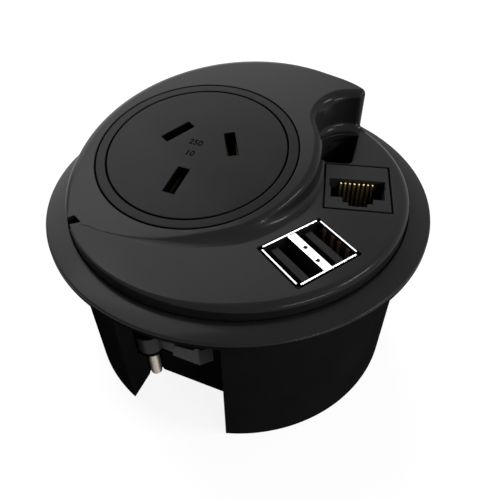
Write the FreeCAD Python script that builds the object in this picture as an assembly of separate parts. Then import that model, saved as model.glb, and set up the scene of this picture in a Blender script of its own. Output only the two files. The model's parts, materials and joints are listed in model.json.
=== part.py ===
import FreeCAD, Part
import math
import os
from FreeCAD import Placement, Rotation, Vector

# In-desk power module, in millimetres.
# Origin: centre of the desk flange, in the plane of its underside, which is the desk's top face.
# +Z is up. -Y goes through the earth slot of the socket and the front clamp channel.

# Desk cut-out, flange and sleeve
desk_hole_diameter = 80.0
desk_hole_gap = 0.5
flange_overlap = 3.5
flange_round = 1.4
flange_foot = 0.15
flange_slope = 12.0
sleeve_depth = 40.0
sleeve_wall = 2.0
ledge_depth = 1.5
ledge_thickness = 1.5
ledge_width = 2.1

# Fascia
fascia_gap = 0.1
fascia_inset = 5.1
fascia_shell = 2.2
fascia_round = 2.4
low_level = 5.2
raised_level = 10.02
raised_tilt = 9.9
neck_radius = 29.0
notch_wall_gap = 0.141
notch_direction = 35.0
nick_corners = ((-1.9, 1.3), (-1.1, 3.1), (1.5, 1.9), (-0.1, 0.1))
nick_depth = 1.4
raised_round = 2.1
tip_extra_round = 0.4
foot_round = 2.2
foot_steps = 6

# Socket, placed on the tilted surface
socket_x = -10.46
socket_y = 0.29
socket_hole_radius = 23.45
groove_width = 0.5
trim_ring_width = 2.0
pin_radius = 7.92
earth_radius = 10.31
slot_length = 7.75
slot_width = 2.5
earth_slot_width = 2.9
socket_flange_lap = 0.95
socket_flange_thickness = 2.0
socket_body_radius = 19.5
socket_body_depth = 20.0
ear_pad_radius = 1.95
socket_ear_directions = (-60.0, 90.0)
socket_ear_drop = 1.4
socket_ear_thickness = 1.8
ear_half_width = 2.6
blade_gap = 1.9
contact_sheet = 0.6
contact_length = 7.0
contact_lip_drop = 0.6
contact_pocket_gap = 0.5
contact_depth = 14.7
contact_tail_width = 3.0
contact_tail_sheet = 0.8
terminal_size = 6.0
terminal_height = 6.5
terminal_gap = 0.2
terminal_wire_radius = 1.3
terminal_wire_level = 4.2
terminal_screw_radius = 1.0
terminal_screw_reach = 2.8
terminal_head_radius = 1.6
terminal_head_height = 1.0
fixing_screw_grip = 2.4
fixing_hole_depth = 2.6

# Stacked USB sockets
usb_x = 22.25
usb_y = -16.5
usb_direction = 57.3
usb_length = 15.3
usb_width = 12.4
usb_gap = 0.35
usb_sheet = 0.4
usb_proud = 0.15
usb_depth = 11.0
usb_divider_width = 2.0
usb_tongue_thickness = 1.8
usb_tongue_width = 10.2
usb_tongue_places = (-4.75, 3.8)
usb_tongue_drop = 0.9
usb_block_height = 1.8
usb_block_gap = 0.1
usb_piece_gap = 0.05
usb_corner_width = 0.75
usb_corner_depth = 0.8
usb_contact_columns = (-3.5, -1.0, 1.0, 3.5)
usb_contact_width = 1.0
usb_contact_sheet = 0.25
usb_contact_gap = 0.1
usb_contact_drop = 1.0
usb_contact_foot = 0.4

# Data jack
jack_x = 25.86
jack_y = 7.13
jack_direction = 15.1
jack_width = 14.2
jack_height = 15.9
jack_gap = 0.25
jack_depth = 16.0
jack_cavity_depth = 13.0
jack_cavity_steps = ((6.2, 2.5), (6.2, -0.5), (5.9, -0.5), (5.9, -4.1), (3.3, -4.1), (3.3, -5.8),
                     (2.0, -5.8), (2.0, -7.0))
jack_shoulder = 0.9
jack_shoulder_drop = 2.0
jack_contact_pitch = 1.02
jack_contact_radius = 0.26
jack_contact_count = 8
jack_contact_foot = 0.6
jack_contact_tip = 2.0
jack_contact_drop = 0.9
jack_cap_depth = 6.0
jack_cap_half_width = 6.4
jack_cap_half_height = 7.2
jack_cap_pitch = 2.6
jack_cap_slot = 0.9
jack_cap_comb = 3.4
jack_cap_trough = 2.2
jack_cap_cut = 4.0

# Charger
board_x = 19.5
board_y = -14.5
board_half_length = 9.0
board_half_width = 9.5
board_thickness = 1.6
board_post_radius = 2.0
board_post_places = ((-6.8, 5.6), (6.8, 5.6))
board_drop = 0.4
board_screw_reach = 5.0
board_hole_depth = 6.0
transformer_u = -2.8
transformer_v = -2.5
transformer_half_length = 5.4
transformer_half_width = 5.0
transformer_base_height = 1.2
transformer_height = 9.5
transformer_core_half_width = 3.0
winding_half_length = 3.0
winding_half_width = 5.5
winding_start = 2.4
winding_end = 8.0
capacitor_places = ((1.2, 6.4), (5.6, -5.0))
capacitor_radius = 2.6
capacitor_height = 9.0
chip_corners = ((4.6, -1.2), (8.4, 3.0))
chip_height = 1.5

# Cable opening and duct
cable_corners = ((14.9, 13.9), (22.1, 16.2), (20.8, 27.9), (16.0, 26.3), (12.9, 21.3), (13.6, 16.3))
duct_wall = 0.8
duct_inset = 0.1
duct_drop = 1.0
duct_gap = 0.15

# Base cover, its screws and the mains entry
base_level = -28.0
base_thickness = 2.0
base_gap = 0.25
base_ledge_width = 0.9
housing_screw_places = ((-24.5, 23.5), (-24.5, -23.0), (32.9, -5.8))
boss_radius = 2.3
screw_radius = 1.4
screw_hole_gap = 0.2
thread_gap = 0.05
screw_head_radius = 2.6
screw_head_height = 1.8
screw_head_round = 0.6
screw_grip = 12.0
screw_tip_gap = 1.0
cross_half_length = 1.6
cross_half_width = 0.3
cross_depth = 0.9
slit_half_width = 0.25
slit_depth = 0.5
small_screw_radius = 0.8
small_head_radius = 1.6
small_head_height = 1.0
gland_x = -14.0
gland_y = -12.0
gland_bore_radius = 3.9
gland_shank_radius = 5.2
gland_flats = 13.0
gland_flange_thickness = 2.0
gland_dome_radius = 6.0
gland_dome_round = 1.8
gland_drop = 7.0
gland_shank_rise = 3.0
lock_nut_flats = 14.0
lock_nut_height = 2.6
block_x = -12.0
block_y = 9.0
block_length = 24.0
block_width = 9.0
block_height = 8.5
block_wire_radius = 1.6
block_wire_level = 3.4
block_head_radius = 1.75
block_head_level = 5.5
block_head_height = 1.9
block_screw_radius = 1.25
block_screw_level = 3.8
block_hole_drop = 1.4
block_slit_depth = 0.7

# Clamps
channel_half_width = 12.4
channel_back = 27.7
channel_wall = 2.0
clamp_x = -10.8
clamp_y = -29.2
clamp_screw_radius = 1.45
clamp_screw_end = -39.0
clamp_head_radius = 2.8
clamp_head_height = 2.0
clamp_head_round = 0.7
clamp_end_round = 0.6
clamp_cross_half_length = 1.7
clamp_cross_depth = 1.1
clip_groove_depth = 0.35
clip_gap = 0.1
clip_height = 0.7
clip_width = 1.2
clip_play = 0.03
clamp_running_gap = 0.05
pocket_radius = 3.8
pocket_floor = -28.5
groove_radius = 1.9
pillar_wall = 1.3
bush_neck_radius = 2.2
bush_collar_radius = 3.2
bush_top_radius = 3.5
bush_collar_height = 0.9
bush_top_height = 0.8
bush_end_gap = 0.1
claw_bottom = -27.0
claw_hub_drop = 0.3
claw_hub_height = 5.8
claw_hub_radius = 3.1
claw_reach = 16.1
claw_thickness = 2.4
claw_wall_gap = 0.2
claw_thin = 0.8
claw_step = (6.4, 7.6)
claw_root_length = 1.8
claw_root_height = 3.5
claw_end_height = 5.5
claw_tooth = ((-2.0, 0.0), (-2.2, 1.0), (-3.2, 0.8), (-3.6, -0.3))

# Values that follow from the sizes above
sleeve_radius = desk_hole_diameter / 2 - desk_hole_gap
flange_radius = desk_hole_diameter / 2 + flange_overlap
fascia_radius = flange_radius - fascia_inset
recess_radius = fascia_radius + fascia_gap
ledge_radius = recess_radius - ledge_width
bore_radius = sleeve_radius - sleeve_wall
roof_top = -ledge_depth
roof_bottom = roof_top - sleeve_wall
slope = math.tan(math.radians(raised_tilt))
socket_level = raised_level + slope * socket_y
socket_place = Placement(Vector(socket_x, socket_y, socket_level), Rotation(Vector(1, 0, 0), raised_tilt))
usb_place = Placement(Vector(usb_x, usb_y, low_level), Rotation(Vector(0, 0, 1), usb_direction))
jack_place = Placement(Vector(jack_x, jack_y, low_level), Rotation(Vector(0, 0, 1), jack_direction))
board_level = low_level - usb_depth - board_drop
board_place = Placement(Vector(board_x, board_y, board_level), Rotation(Vector(0, 0, 1), usb_direction))
socket_ear_radius = socket_hole_radius + socket_flange_lap + duct_gap + ear_pad_radius
notch_cos = math.cos(math.radians(notch_direction))
notch_sin = math.sin(math.radians(notch_direction))
# The hollow's circle touches the neck's circle, and nearly touches the outer wall from the inside.
notch_limit = fascia_radius - notch_wall_gap
socket_along = socket_x * notch_cos + socket_y * notch_sin
notch_radius = ((notch_limit ** 2 - neck_radius ** 2 - socket_x ** 2 - socket_y ** 2 - 2 * neck_radius * socket_along)
                / (2 * (notch_limit + neck_radius + socket_along)))
notch_x = socket_x + (neck_radius + notch_radius) * notch_cos
notch_y = socket_y + (neck_radius + notch_radius) * notch_sin
under_fascia = low_level - fascia_shell
TALL = 60.0


def box(x0, x1, y0, y1, z0, z1):
    return Part.makeBox(x1 - x0, y1 - y0, z1 - z0, Vector(x0, y0, z0))


def cylinder(radius, z0, z1, x=0.0, y=0.0):
    return Part.makeCylinder(radius, z1 - z0, Vector(x, y, z0))


def tube(outer, inner, z0, z1, x=0.0, y=0.0):
    return cylinder(outer, z0, z1, x, y).cut(cylinder(inner, z0 - 1, z1 + 1, x, y))


def fuse(shapes):
    whole = shapes[0].multiFuse(shapes[1:]) if len(shapes) > 1 else shapes[0]
    return whole.removeSplitter()


def placed(shape, place):
    moved = shape.copy()
    moved.Placement = place.multiply(moved.Placement)
    return moved


def prism(points, z0, z1):
    corners = [Vector(x, y, z0) for x, y in points]
    face = Part.Face(Part.makePolygon(corners + corners[:1]))
    return face.extrude(Vector(0, 0, z1 - z0))


def wire_of(steps, z=0.0):
    """A closed wire from (x, y) corners; a step of two points is an arc through the first to the second."""
    edges = []
    here = steps[0]
    for step in steps[1:]:
        if isinstance(step[0], tuple):
            through, end = step
            arc = Part.Arc(Vector(here[0], here[1], z), Vector(through[0], through[1], z), Vector(end[0], end[1], z))
            edges.append(arc.toShape())
        else:
            end = step
            edges.append(Part.LineSegment(Vector(here[0], here[1], z), Vector(end[0], end[1], z)).toShape())
        here = end
    return Part.Wire(edges)


def turned(steps):
    """A full turn about Z of a profile given as (radius, height) steps."""
    face = Part.Face(wire_of(steps))
    face.rotate(Vector(0, 0, 0), Vector(1, 0, 0), 90)
    return face.revolve(Vector(0, 0, 0), Vector(0, 0, 1), 360)


def polar(radius, degrees, x=0.0, y=0.0):
    angle = math.radians(degrees)
    return (x + radius * math.cos(angle), y + radius * math.sin(angle))


def angle_of(point, x=0.0, y=0.0):
    return math.degrees(math.atan2(point[1] - y, point[0] - x))


def vertical_edges(shape, x, y, reach=0.5):
    found = []
    for edge in shape.Edges:
        ends = edge.Vertexes
        if len(ends) != 2 or abs(ends[0].Z - ends[1].Z) < 0.5:
            continue
        if all(math.hypot(v.X - x, v.Y - y) < reach for v in ends):
            found.append(edge)
    return found


def above_tilt(lower=0.0):
    """Everything above the tilted surface, or above a plane that lies the given distance below it."""
    block = Part.makeBox(4 * TALL, 4 * TALL, TALL, Vector(-2 * TALL, -2 * TALL, 0))
    block.rotate(Vector(0, 0, 0), Vector(1, 0, 0), raised_tilt)
    drop = lower / math.cos(math.radians(raised_tilt))
    block.translate(Vector(0, 0, raised_level - drop))
    return block


def raised_outline(inset=0.0):
    """Plan of the raised part: straight front, neck round the socket, hollow at the back right, outer wall."""
    outer = fascia_radius - inset
    neck = neck_radius - inset
    notch = notch_radius + inset
    front = socket_y - neck
    start = (-math.sqrt(outer ** 2 - front ** 2), front)
    neck_start = (socket_x, front)
    neck_end = polar(neck, notch_direction, socket_x, socket_y)
    neck_middle = polar(neck, (notch_direction - 90) / 2, socket_x, socket_y)
    notch_top = notch_y + notch
    notch_middle = polar(notch, (notch_direction + 180 + 90) / 2, notch_x, notch_y)
    tip = (math.sqrt(outer ** 2 - notch_top ** 2), notch_top)
    outer_middle = polar(outer, (angle_of(tip) + angle_of(start) + 360) / 2)
    steps = [start, neck_start, (neck_middle, neck_end), (notch_middle, (notch_x, notch_top)), tip,
             (outer_middle, start)]
    return steps, start, tip


def tip_centre(rounding):
    """Centre of the vertical rounding that touches the hollow's wall and the outer wall."""
    outer = fascia_radius - rounding
    inner = notch_radius + rounding
    apart = math.hypot(notch_x, notch_y)
    along = (outer ** 2 - inner ** 2 + apart ** 2) / (2 * apart)
    aside = math.sqrt(outer ** 2 - along ** 2)
    ux = notch_x / apart
    uy = notch_y / apart
    return (along * ux - aside * uy, along * uy + aside * ux)


def raised_form(inset=0.0, rounded=True):
    steps, start, tip = raised_outline(inset)
    bottom = roof_top if rounded else roof_top - 1
    solid = Part.Face(wire_of(steps, bottom)).extrude(Vector(0, 0, TALL / 2))
    if rounded:
        solid = solid.makeFillet(raised_round + tip_extra_round, vertical_edges(solid, *tip))
    solid = solid.cut(above_tilt(inset))
    if rounded:
        top = max(solid.Faces, key=lambda face: face.CenterOfMass.z)
        solid = solid.makeFillet(raised_round, top.OuterWire.Edges)
    return solid


def foot_section(size):
    """Section of the hollow curve at the foot of the wall; its X runs out from the wall."""
    sink = 0.5
    bend = size * (1 - math.sqrt(0.5))
    return wire_of([
        (0, low_level + size), ((bend, low_level + bend), (size, low_level)), (size, low_level - sink),
        (-sink, low_level - sink), (-sink, low_level + size), (0, low_level + size)])


def foot_curve():
    """The hollow curve where neck and notch stand on the low surface; it fades out where the wall is low."""
    def height_at(direction):
        return raised_level + slope * (socket_y + neck_radius * math.sin(math.radians(direction))) - low_level

    def direction_at(height):
        rise = (height + low_level - raised_level) / slope - socket_y
        return math.degrees(math.asin(rise / neck_radius))

    fade_from = direction_at(raised_round + 0.1)
    fade_to = direction_at(raised_round + foot_round)
    wires = []
    for number in range(foot_steps + 1):
        direction = fade_from + (fade_to - fade_from) * number / foot_steps
        wire = foot_section(height_at(direction) - raised_round)
        wire.rotate(Vector(0, 0, 0), Vector(1, 0, 0), 90)
        wire.translate(Vector(neck_radius, 0, 0))
        wire.rotate(Vector(0, 0, 0), Vector(0, 0, 1), direction)
        wire.translate(Vector(socket_x, socket_y, 0))
        wires.append(wire)
    shapes = [Part.makeLoft(wires, True, False)]
    section = Part.Face(foot_section(foot_round))
    section.rotate(Vector(0, 0, 0), Vector(1, 0, 0), 90)
    neck = section.copy()
    neck.translate(Vector(neck_radius, 0, 0))
    neck.rotate(Vector(0, 0, 0), Vector(0, 0, 1), fade_to)
    neck.translate(Vector(socket_x, socket_y, 0))
    shapes.append(neck.revolve(Vector(socket_x, socket_y, 0), Vector(0, 0, 1), notch_direction - fade_to))
    corner_radius = raised_round + tip_extra_round
    corner_x, corner_y = tip_centre(corner_radius)
    notch_end = angle_of((corner_x, corner_y), notch_x, notch_y)
    notch = section.copy()
    notch.rotate(Vector(0, 0, 0), Vector(0, 0, 1), 180)
    notch.translate(Vector(notch_radius, 0, 0))
    notch.rotate(Vector(0, 0, 0), Vector(0, 0, 1), notch_end)
    notch.translate(Vector(notch_x, notch_y, 0))
    shapes.append(notch.revolve(Vector(notch_x, notch_y, 0), Vector(0, 0, 1), notch_direction + 180 - notch_end))
    corner = section.copy()
    corner.translate(Vector(corner_radius, 0, 0))
    corner.rotate(Vector(0, 0, 0), Vector(0, 0, 1), notch_end - 180)
    corner.translate(Vector(corner_x, corner_y, 0))
    shapes.append(corner.revolve(Vector(corner_x, corner_y, 0), Vector(0, 0, 1),
                                 angle_of((corner_x, corner_y)) - notch_end + 180))
    limit = cylinder((fascia_radius + fascia_radius - fascia_round) / 2, 0, TALL)
    return [shape.common(limit) for shape in shapes]


def low_form():
    rounding = fascia_round * (1 - math.sqrt(0.5))
    outer = fascia_radius
    return turned([
        (0, roof_top), (outer, roof_top), (outer, low_level - fascia_round),
        ((outer - rounding, low_level - rounding), (outer - fascia_round, low_level)),
        (0, low_level), (0, roof_top)])


def cable_outline():
    near, right, far, back, left, front = cable_corners
    return wire_of([near, right, far, (back, left), front, near])


def cable_prism(grow, z0, z1):
    face = Part.Face(cable_outline())
    if grow:
        face = face.makeOffset2D(grow)
    face.translate(Vector(0, 0, z0))
    return face.extrude(Vector(0, 0, z1 - z0))


def slot_places():
    return {
        "active": (polar(pin_radius, 150), 60.0, slot_width),
        "neutral": (polar(pin_radius, 30), 120.0, slot_width),
        "earth": (polar(earth_radius, -90), 90.0, earth_slot_width)}


def at_slot(shape, name):
    (x, y), direction, width = slot_places()[name]
    return placed(shape, Placement(Vector(x, y, 0), Rotation(Vector(0, 0, 1), direction)))


def flange_sleeve():
    slope_angle = math.radians(flange_slope)
    rim_x = flange_radius - flange_round + flange_round * math.sin(slope_angle)
    rim_z = flange_foot + flange_round * math.cos(slope_angle)
    dome_width = rim_x - recess_radius
    dome_radius = dome_width / math.sin(slope_angle)
    dome_top = rim_z + dome_width * math.tan(slope_angle / 2)
    dome_middle = (recess_radius + dome_radius * math.sin(slope_angle / 2),
                   dome_top - dome_radius * (1 - math.cos(slope_angle / 2)))
    edge_turn = (math.pi / 2 - slope_angle) / 2
    edge_middle = (flange_radius - flange_round + flange_round * math.cos(edge_turn),
                   flange_foot + flange_round * math.sin(edge_turn))
    ledge_bottom = roof_top - ledge_thickness
    seat_radius = bore_radius - base_ledge_width
    seat_top = base_level + ledge_thickness
    body = turned([
        (sleeve_radius, -sleeve_depth), (sleeve_radius, roof_bottom), (sleeve_radius, 0), (flange_radius, 0),
        (flange_radius, flange_foot),
        (edge_middle, (rim_x, rim_z)), (dome_middle, (recess_radius, dome_top)),
        (recess_radius, roof_top), (ledge_radius, roof_top), (ledge_radius, ledge_bottom),
        (bore_radius, ledge_bottom - bore_radius + ledge_radius), (bore_radius, seat_top + base_ledge_width),
        (seat_radius, seat_top), (seat_radius, base_level), (bore_radius, base_level),
        (bore_radius, -sleeve_depth), (sleeve_radius, -sleeve_depth)])
    adds = []
    cuts = []
    inside = cylinder(sleeve_radius - sleeve_wall / 4, -sleeve_depth, roof_top)
    reach = channel_half_width + channel_wall
    walls = box(-reach, reach, -TALL, -channel_back + channel_wall, -sleeve_depth, roof_top)
    pillar = cylinder(pocket_radius + pillar_wall, -sleeve_depth, roof_top, clamp_x, clamp_y)
    hollow = box(-channel_half_width, channel_half_width, -TALL, -channel_back, -TALL, roof_bottom)
    pocket = cylinder(pocket_radius, pocket_floor, roof_bottom, clamp_x, clamp_y)
    groove = cylinder(groove_radius, -TALL, pocket_floor, clamp_x, clamp_y)
    hole = cylinder(clamp_screw_radius + clamp_running_gap, roof_bottom - 1, roof_top + 1, clamp_x, clamp_y)
    for turn in (0, 180):
        for shape, group in ((walls.common(inside), adds), (pillar.common(inside), adds), (hollow, cuts),
                             (pocket, cuts), (groove, cuts), (hole, cuts)):
            copy = shape.copy()
            copy.rotate(Vector(0, 0, 0), Vector(0, 0, 1), turn)
            group.append(copy)
    return body.multiFuse(adds).cut(fuse(cuts))


def socket_ears(z0, z1, radius):
    shapes = []
    for direction in socket_ear_directions:
        x, y = polar(socket_ear_radius, direction)
        shapes.append(cylinder(radius, z0, z1, x, y))
    return shapes


def top_fascia():
    outside = fuse([low_form(), raised_form()] + foot_curve())
    inner_radius = fascia_radius - fascia_shell
    low_hollow = cylinder(inner_radius, roof_top - 1, under_fascia)
    raised_hollow = raised_form(fascia_shell, rounded=False)
    shell = outside.cut(fuse([low_hollow, raised_hollow]))
    boss_bottom = base_level + duct_gap
    adds = [cylinder(boss_radius, boss_bottom, under_fascia + 0.5, x, y) for x, y in housing_screw_places]
    for u, v in board_post_places:
        post = cylinder(board_post_radius, 0, under_fascia + 0.5 - board_level, u, v)
        adds.append(placed(post, board_place))
    tall_bosses = []
    for x, y in housing_screw_places[:2]:
        tall_bosses.append(cylinder(boss_radius, under_fascia, TALL / 2, x, y).common(outside))
    ear_top = -fascia_shell - socket_ear_drop
    for pad in socket_ears(ear_top, -fascia_shell / 2, ear_pad_radius):
        adds.append(placed(pad, socket_place))
    shell = fuse([shell] + adds + tall_bosses)
    cuts = [placed(cylinder(socket_hole_radius, -fascia_shell - duct_gap, TALL / 4), socket_place)]
    for hole in socket_ears(ear_top - 1, ear_top + fixing_hole_depth, small_screw_radius + thread_gap):
        cuts.append(placed(hole, socket_place))
    half_length = usb_length / 2 + usb_gap
    half_width = usb_width / 2 + usb_gap
    cuts.append(placed(box(-half_length, half_length, -half_width, half_width, -TALL / 4, TALL / 4), usb_place))
    half_length = jack_width / 2 + jack_gap
    half_width = jack_height / 2 + jack_gap
    cuts.append(placed(box(-half_length, half_length, -half_width, half_width, -TALL / 8, TALL / 4), jack_place))
    cuts.append(cable_prism(0, roof_top, TALL))
    for x, y in housing_screw_places:
        cuts.append(cylinder(screw_radius + thread_gap, boss_bottom - 1, boss_bottom + screw_grip, x, y))
    for u, v in board_post_places:
        cuts.append(placed(cylinder(small_screw_radius + thread_gap, -1, board_hole_depth, u, v), board_place))
    start_x, start_y = raised_outline()[1]
    cuts.append(prism([(start_x + x, start_y + y) for x, y in nick_corners], low_level - nick_depth, TALL / 4))
    return shell.cut(fuse(cuts))


def socket_face():
    radius = socket_hole_radius - 2 * groove_width - trim_ring_width
    face = cylinder(radius, -fascia_shell, 0)
    for name, (place, direction, width) in slot_places().items():
        slot = box(-slot_length / 2, slot_length / 2, -width / 2, width / 2, -fascia_shell - 1, 1)
        face = face.cut(at_slot(slot, name))
    return placed(face, socket_place)


def socket_trim_ring():
    outer = socket_hole_radius - groove_width
    return placed(tube(outer, outer - trim_ring_width, -fascia_shell, 0), socket_place)


def socket_body():
    top = -fascia_shell
    flange_bottom = top - socket_flange_thickness
    shapes = [cylinder(socket_hole_radius + socket_flange_lap, flange_bottom, top),
              cylinder(socket_body_radius, top - socket_body_depth, flange_bottom + 0.5)]
    ear_top = top - socket_ear_drop
    ear_bottom = ear_top - socket_ear_thickness
    for direction in socket_ear_directions:
        arm = box(socket_body_radius - 2, socket_ear_radius, -ear_half_width, ear_half_width, ear_bottom, ear_top)
        ear = arm.fuse(cylinder(ear_half_width, ear_bottom, ear_top, socket_ear_radius, 0))
        ear = ear.cut(cylinder(small_screw_radius + screw_hole_gap, ear_bottom - 1, ear_top + 1,
                               socket_ear_radius, 0))
        ear.rotate(Vector(0, 0, 0), Vector(0, 0, 1), direction)
        shapes.append(ear)
    body = fuse(shapes)
    half_length = contact_length / 2 + contact_pocket_gap
    half_width = blade_gap / 2 + contact_sheet + contact_pocket_gap
    pocket_bottom = top - contact_depth - contact_pocket_gap
    pocket = box(-half_length, half_length, -half_width, half_width, pocket_bottom, 1)
    tail_half = contact_tail_width / 2 + contact_pocket_gap
    sheet_half = contact_tail_sheet / 2 + contact_pocket_gap
    passage = box(-tail_half, tail_half, -sheet_half, sheet_half, -TALL, pocket_bottom + 1)
    for name in slot_places():
        body = body.cut(at_slot(pocket.fuse(passage), name))
    return placed(body, socket_place)


def contact(name):
    """A folded spring contact with its tail and its terminal behind the socket body."""
    top = -fascia_shell
    lip = top - contact_lip_drop
    bottom = top - contact_depth
    half = contact_length / 2
    inner = blade_gap / 2
    outer = inner + contact_sheet
    spring = box(-half, half, -outer, outer, bottom, lip).cut(
        box(-half - 1, half + 1, -inner, inner, bottom + contact_sheet, lip + 1))
    body_back = top - socket_body_depth
    tail = box(-contact_tail_width / 2, contact_tail_width / 2, -contact_tail_sheet / 2, contact_tail_sheet / 2,
               body_back - 2 * terminal_gap, bottom + contact_sheet / 2)
    side = terminal_size / 2
    end = body_back - terminal_gap - terminal_height
    wire_level = end + terminal_wire_level
    terminal = box(-side, side, -side, side, end, body_back - terminal_gap)
    terminal = terminal.cut(Part.makeCylinder(terminal_wire_radius, TALL, Vector(0, -TALL / 2, wire_level),
                                              Vector(0, 1, 0)))
    terminal = terminal.cut(cylinder(terminal_screw_radius + thread_gap, end - 1, wire_level))
    return placed(at_slot(fuse([spring, tail, terminal]), name), socket_place)


def socket_terminal_screws():
    end = -fascia_shell - socket_body_depth - terminal_gap - terminal_height
    head_top = end - terminal_gap
    head_bottom = head_top - terminal_head_height
    screws = []
    for name in slot_places():
        screw = cylinder(terminal_screw_radius, head_top, end + terminal_screw_reach).fuse(
            cylinder(terminal_head_radius, head_bottom, head_top))
        screw = screw.cut(box(-TALL, TALL, -slit_half_width, slit_half_width, -TALL, head_bottom + slit_depth))
        screws.append(placed(at_slot(screw.removeSplitter(), name), socket_place))
    return Part.makeCompound(screws)


def socket_fixing_screws():
    ear_bottom = -fascia_shell - socket_ear_drop - socket_ear_thickness
    screws = []
    for direction in socket_ear_directions:
        x, y = polar(socket_ear_radius, direction)
        head = cylinder(small_head_radius, ear_bottom - small_head_height, ear_bottom, x, y)
        shank = cylinder(small_screw_radius, ear_bottom - small_head_height / 2,
                         ear_bottom + socket_ear_thickness + fixing_screw_grip, x, y)
        screws.append(placed(fuse([head, shank]), socket_place))
    return Part.makeCompound(screws)


def usb_shell():
    half_length = usb_length / 2
    half_width = usb_width / 2
    shell = box(-half_length, half_length, -half_width, half_width, -usb_depth, usb_proud).cut(
        box(-half_length + usb_sheet, half_length - usb_sheet, -half_width + usb_sheet, half_width - usb_sheet,
            -usb_depth - 1, usb_proud + 1))
    corner = usb_corner_width
    for x in (-half_length, half_length - corner):
        for y in (-half_width, half_width - corner):
            shell = shell.cut(box(x, x + corner, y, y + corner, usb_proud - usb_corner_depth, usb_proud + 1))
    return placed(shell, usb_place)


def usb_divider():
    half = usb_divider_width / 2
    length = usb_width / 2 - usb_sheet - usb_piece_gap
    bottom = -usb_depth + usb_block_height
    strip = box(-half, half, -length, length, bottom, 0).cut(
        box(-half + usb_sheet, half - usb_sheet, -length - 1, length + 1, bottom - 1, -usb_sheet))
    return placed(strip, usb_place)


def usb_insulator():
    gap = usb_sheet + usb_block_gap
    block = box(-usb_length / 2 + gap, usb_length / 2 - gap, -usb_width / 2 + gap, usb_width / 2 - gap,
                -usb_depth, -usb_depth + usb_block_height)
    side = usb_contact_width / 2 + usb_contact_gap
    for u, v in usb_contact_places():
        block = block.cut(box(u - usb_contact_gap, u + usb_contact_sheet + usb_contact_gap, v - side, v + side,
                              -TALL, 0))
    return placed(block, usb_place)


def usb_contact_places():
    places = []
    for tongue in usb_tongue_places:
        for v in usb_contact_columns:
            places.append((tongue + usb_tongue_thickness / 2, v))
    return places


def usb_tongues():
    half = usb_tongue_thickness / 2
    width = usb_tongue_width / 2
    bottom = -usb_depth + usb_block_height
    tongues = []
    for u in usb_tongue_places:
        tongues.append(placed(box(u - half, u + half, -width, width, bottom, -usb_tongue_drop), usb_place))
    return Part.makeCompound(tongues)


def usb_contacts():
    strips = []
    side = usb_contact_width / 2
    for u, v in usb_contact_places():
        strip = box(u, u + usb_contact_sheet, v - side, v + side, -usb_depth - usb_contact_foot,
                    -usb_tongue_drop - usb_contact_drop)
        strips.append(placed(strip, usb_place))
    return Part.makeCompound(strips)


def charger_board():
    plate = box(-board_half_length, board_half_length, -board_half_width, board_half_width, -board_thickness, 0)
    for u, v in board_post_places:
        plate = plate.cut(cylinder(small_screw_radius + screw_hole_gap, -TALL, TALL, u, v))
    return placed(plate, board_place)


def board_screws():
    screws = []
    for u, v in board_post_places:
        head = cylinder(small_head_radius, -board_thickness - small_head_height, -board_thickness, u, v)
        shank = cylinder(small_screw_radius, -board_thickness - small_head_height / 2, board_screw_reach, u, v)
        screws.append(placed(fuse([head, shank]), board_place))
    return Part.makeCompound(screws)


def transformer():
    top = -board_thickness
    base_end = top - transformer_base_height

    def part_of(half_length, half_width, low, high):
        return box(transformer_u - half_length, transformer_u + half_length,
                   transformer_v - half_width, transformer_v + half_width, low, high)

    base = part_of(transformer_half_length, transformer_half_width, base_end, top)
    core = part_of(transformer_half_length, transformer_core_half_width, top - transformer_height, base_end)
    winding = part_of(winding_half_length, winding_half_width, top - winding_end, top - winding_start)
    return placed(fuse([base, core, winding]), board_place)


def capacitors():
    top = -board_thickness
    cans = []
    for u, v in capacitor_places:
        can = cylinder(capacitor_radius, top - capacitor_height, top, u, v)
        cans.append(placed(can, board_place))
    return Part.makeCompound(cans)


def charger_chip():
    top = -board_thickness
    (u0, v0), (u1, v1) = chip_corners
    return placed(box(u0, u1, v0, v1, top - chip_height, top), board_place)


def jack_body():
    half_width = jack_width / 2
    half_height = jack_height / 2
    body = box(-half_width, half_width, -half_height, half_height, -jack_depth, 0)
    shoulder = box(-half_width - jack_shoulder, half_width + jack_shoulder, -half_height, half_height,
                   -fascia_shell - jack_shoulder_drop, -fascia_shell - duct_gap)
    mirrored = [(-w, h) for w, h in reversed(jack_cavity_steps)]
    cavity = prism(list(jack_cavity_steps) + mirrored, -jack_cavity_depth, 1)
    return placed(fuse([body, shoulder]).cut(cavity), jack_place)


def jack_contacts():
    wires = []
    for number in range(jack_contact_count):
        w = (number - (jack_contact_count - 1) / 2) * jack_contact_pitch
        foot = Vector(w, jack_contact_foot, -jack_cavity_depth)
        tip = Vector(w, jack_contact_tip, -jack_contact_drop)
        wire = Part.makeCylinder(jack_contact_radius, (tip - foot).Length, foot, tip - foot)
        wire = wire.fuse(Part.makeSphere(jack_contact_radius, tip))
        wire = wire.cut(box(-TALL, TALL, -TALL, TALL, -jack_cavity_depth - 1, -jack_cavity_depth))
        wires.append(placed(wire.removeSplitter(), jack_place))
    return Part.makeCompound(wires)


def jack_rear_cap():
    top = -jack_depth
    bottom = top - jack_cap_depth
    cap = box(-jack_cap_half_width, jack_cap_half_width, -jack_cap_half_height, jack_cap_half_height, bottom, top)
    cut_top = bottom + jack_cap_cut
    for number in range(4):
        w = (number - 1.5) * jack_cap_pitch
        slot = box(w - jack_cap_slot / 2, w + jack_cap_slot / 2, jack_cap_comb, TALL, -TALL, cut_top)
        cap = cap.cut(slot).cut(slot.mirror(Vector(0, 0, 0), Vector(0, 1, 0)))
    cap = cap.cut(box(-TALL, TALL, -jack_cap_trough, jack_cap_trough, -TALL, cut_top))
    return placed(cap, jack_place)


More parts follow.
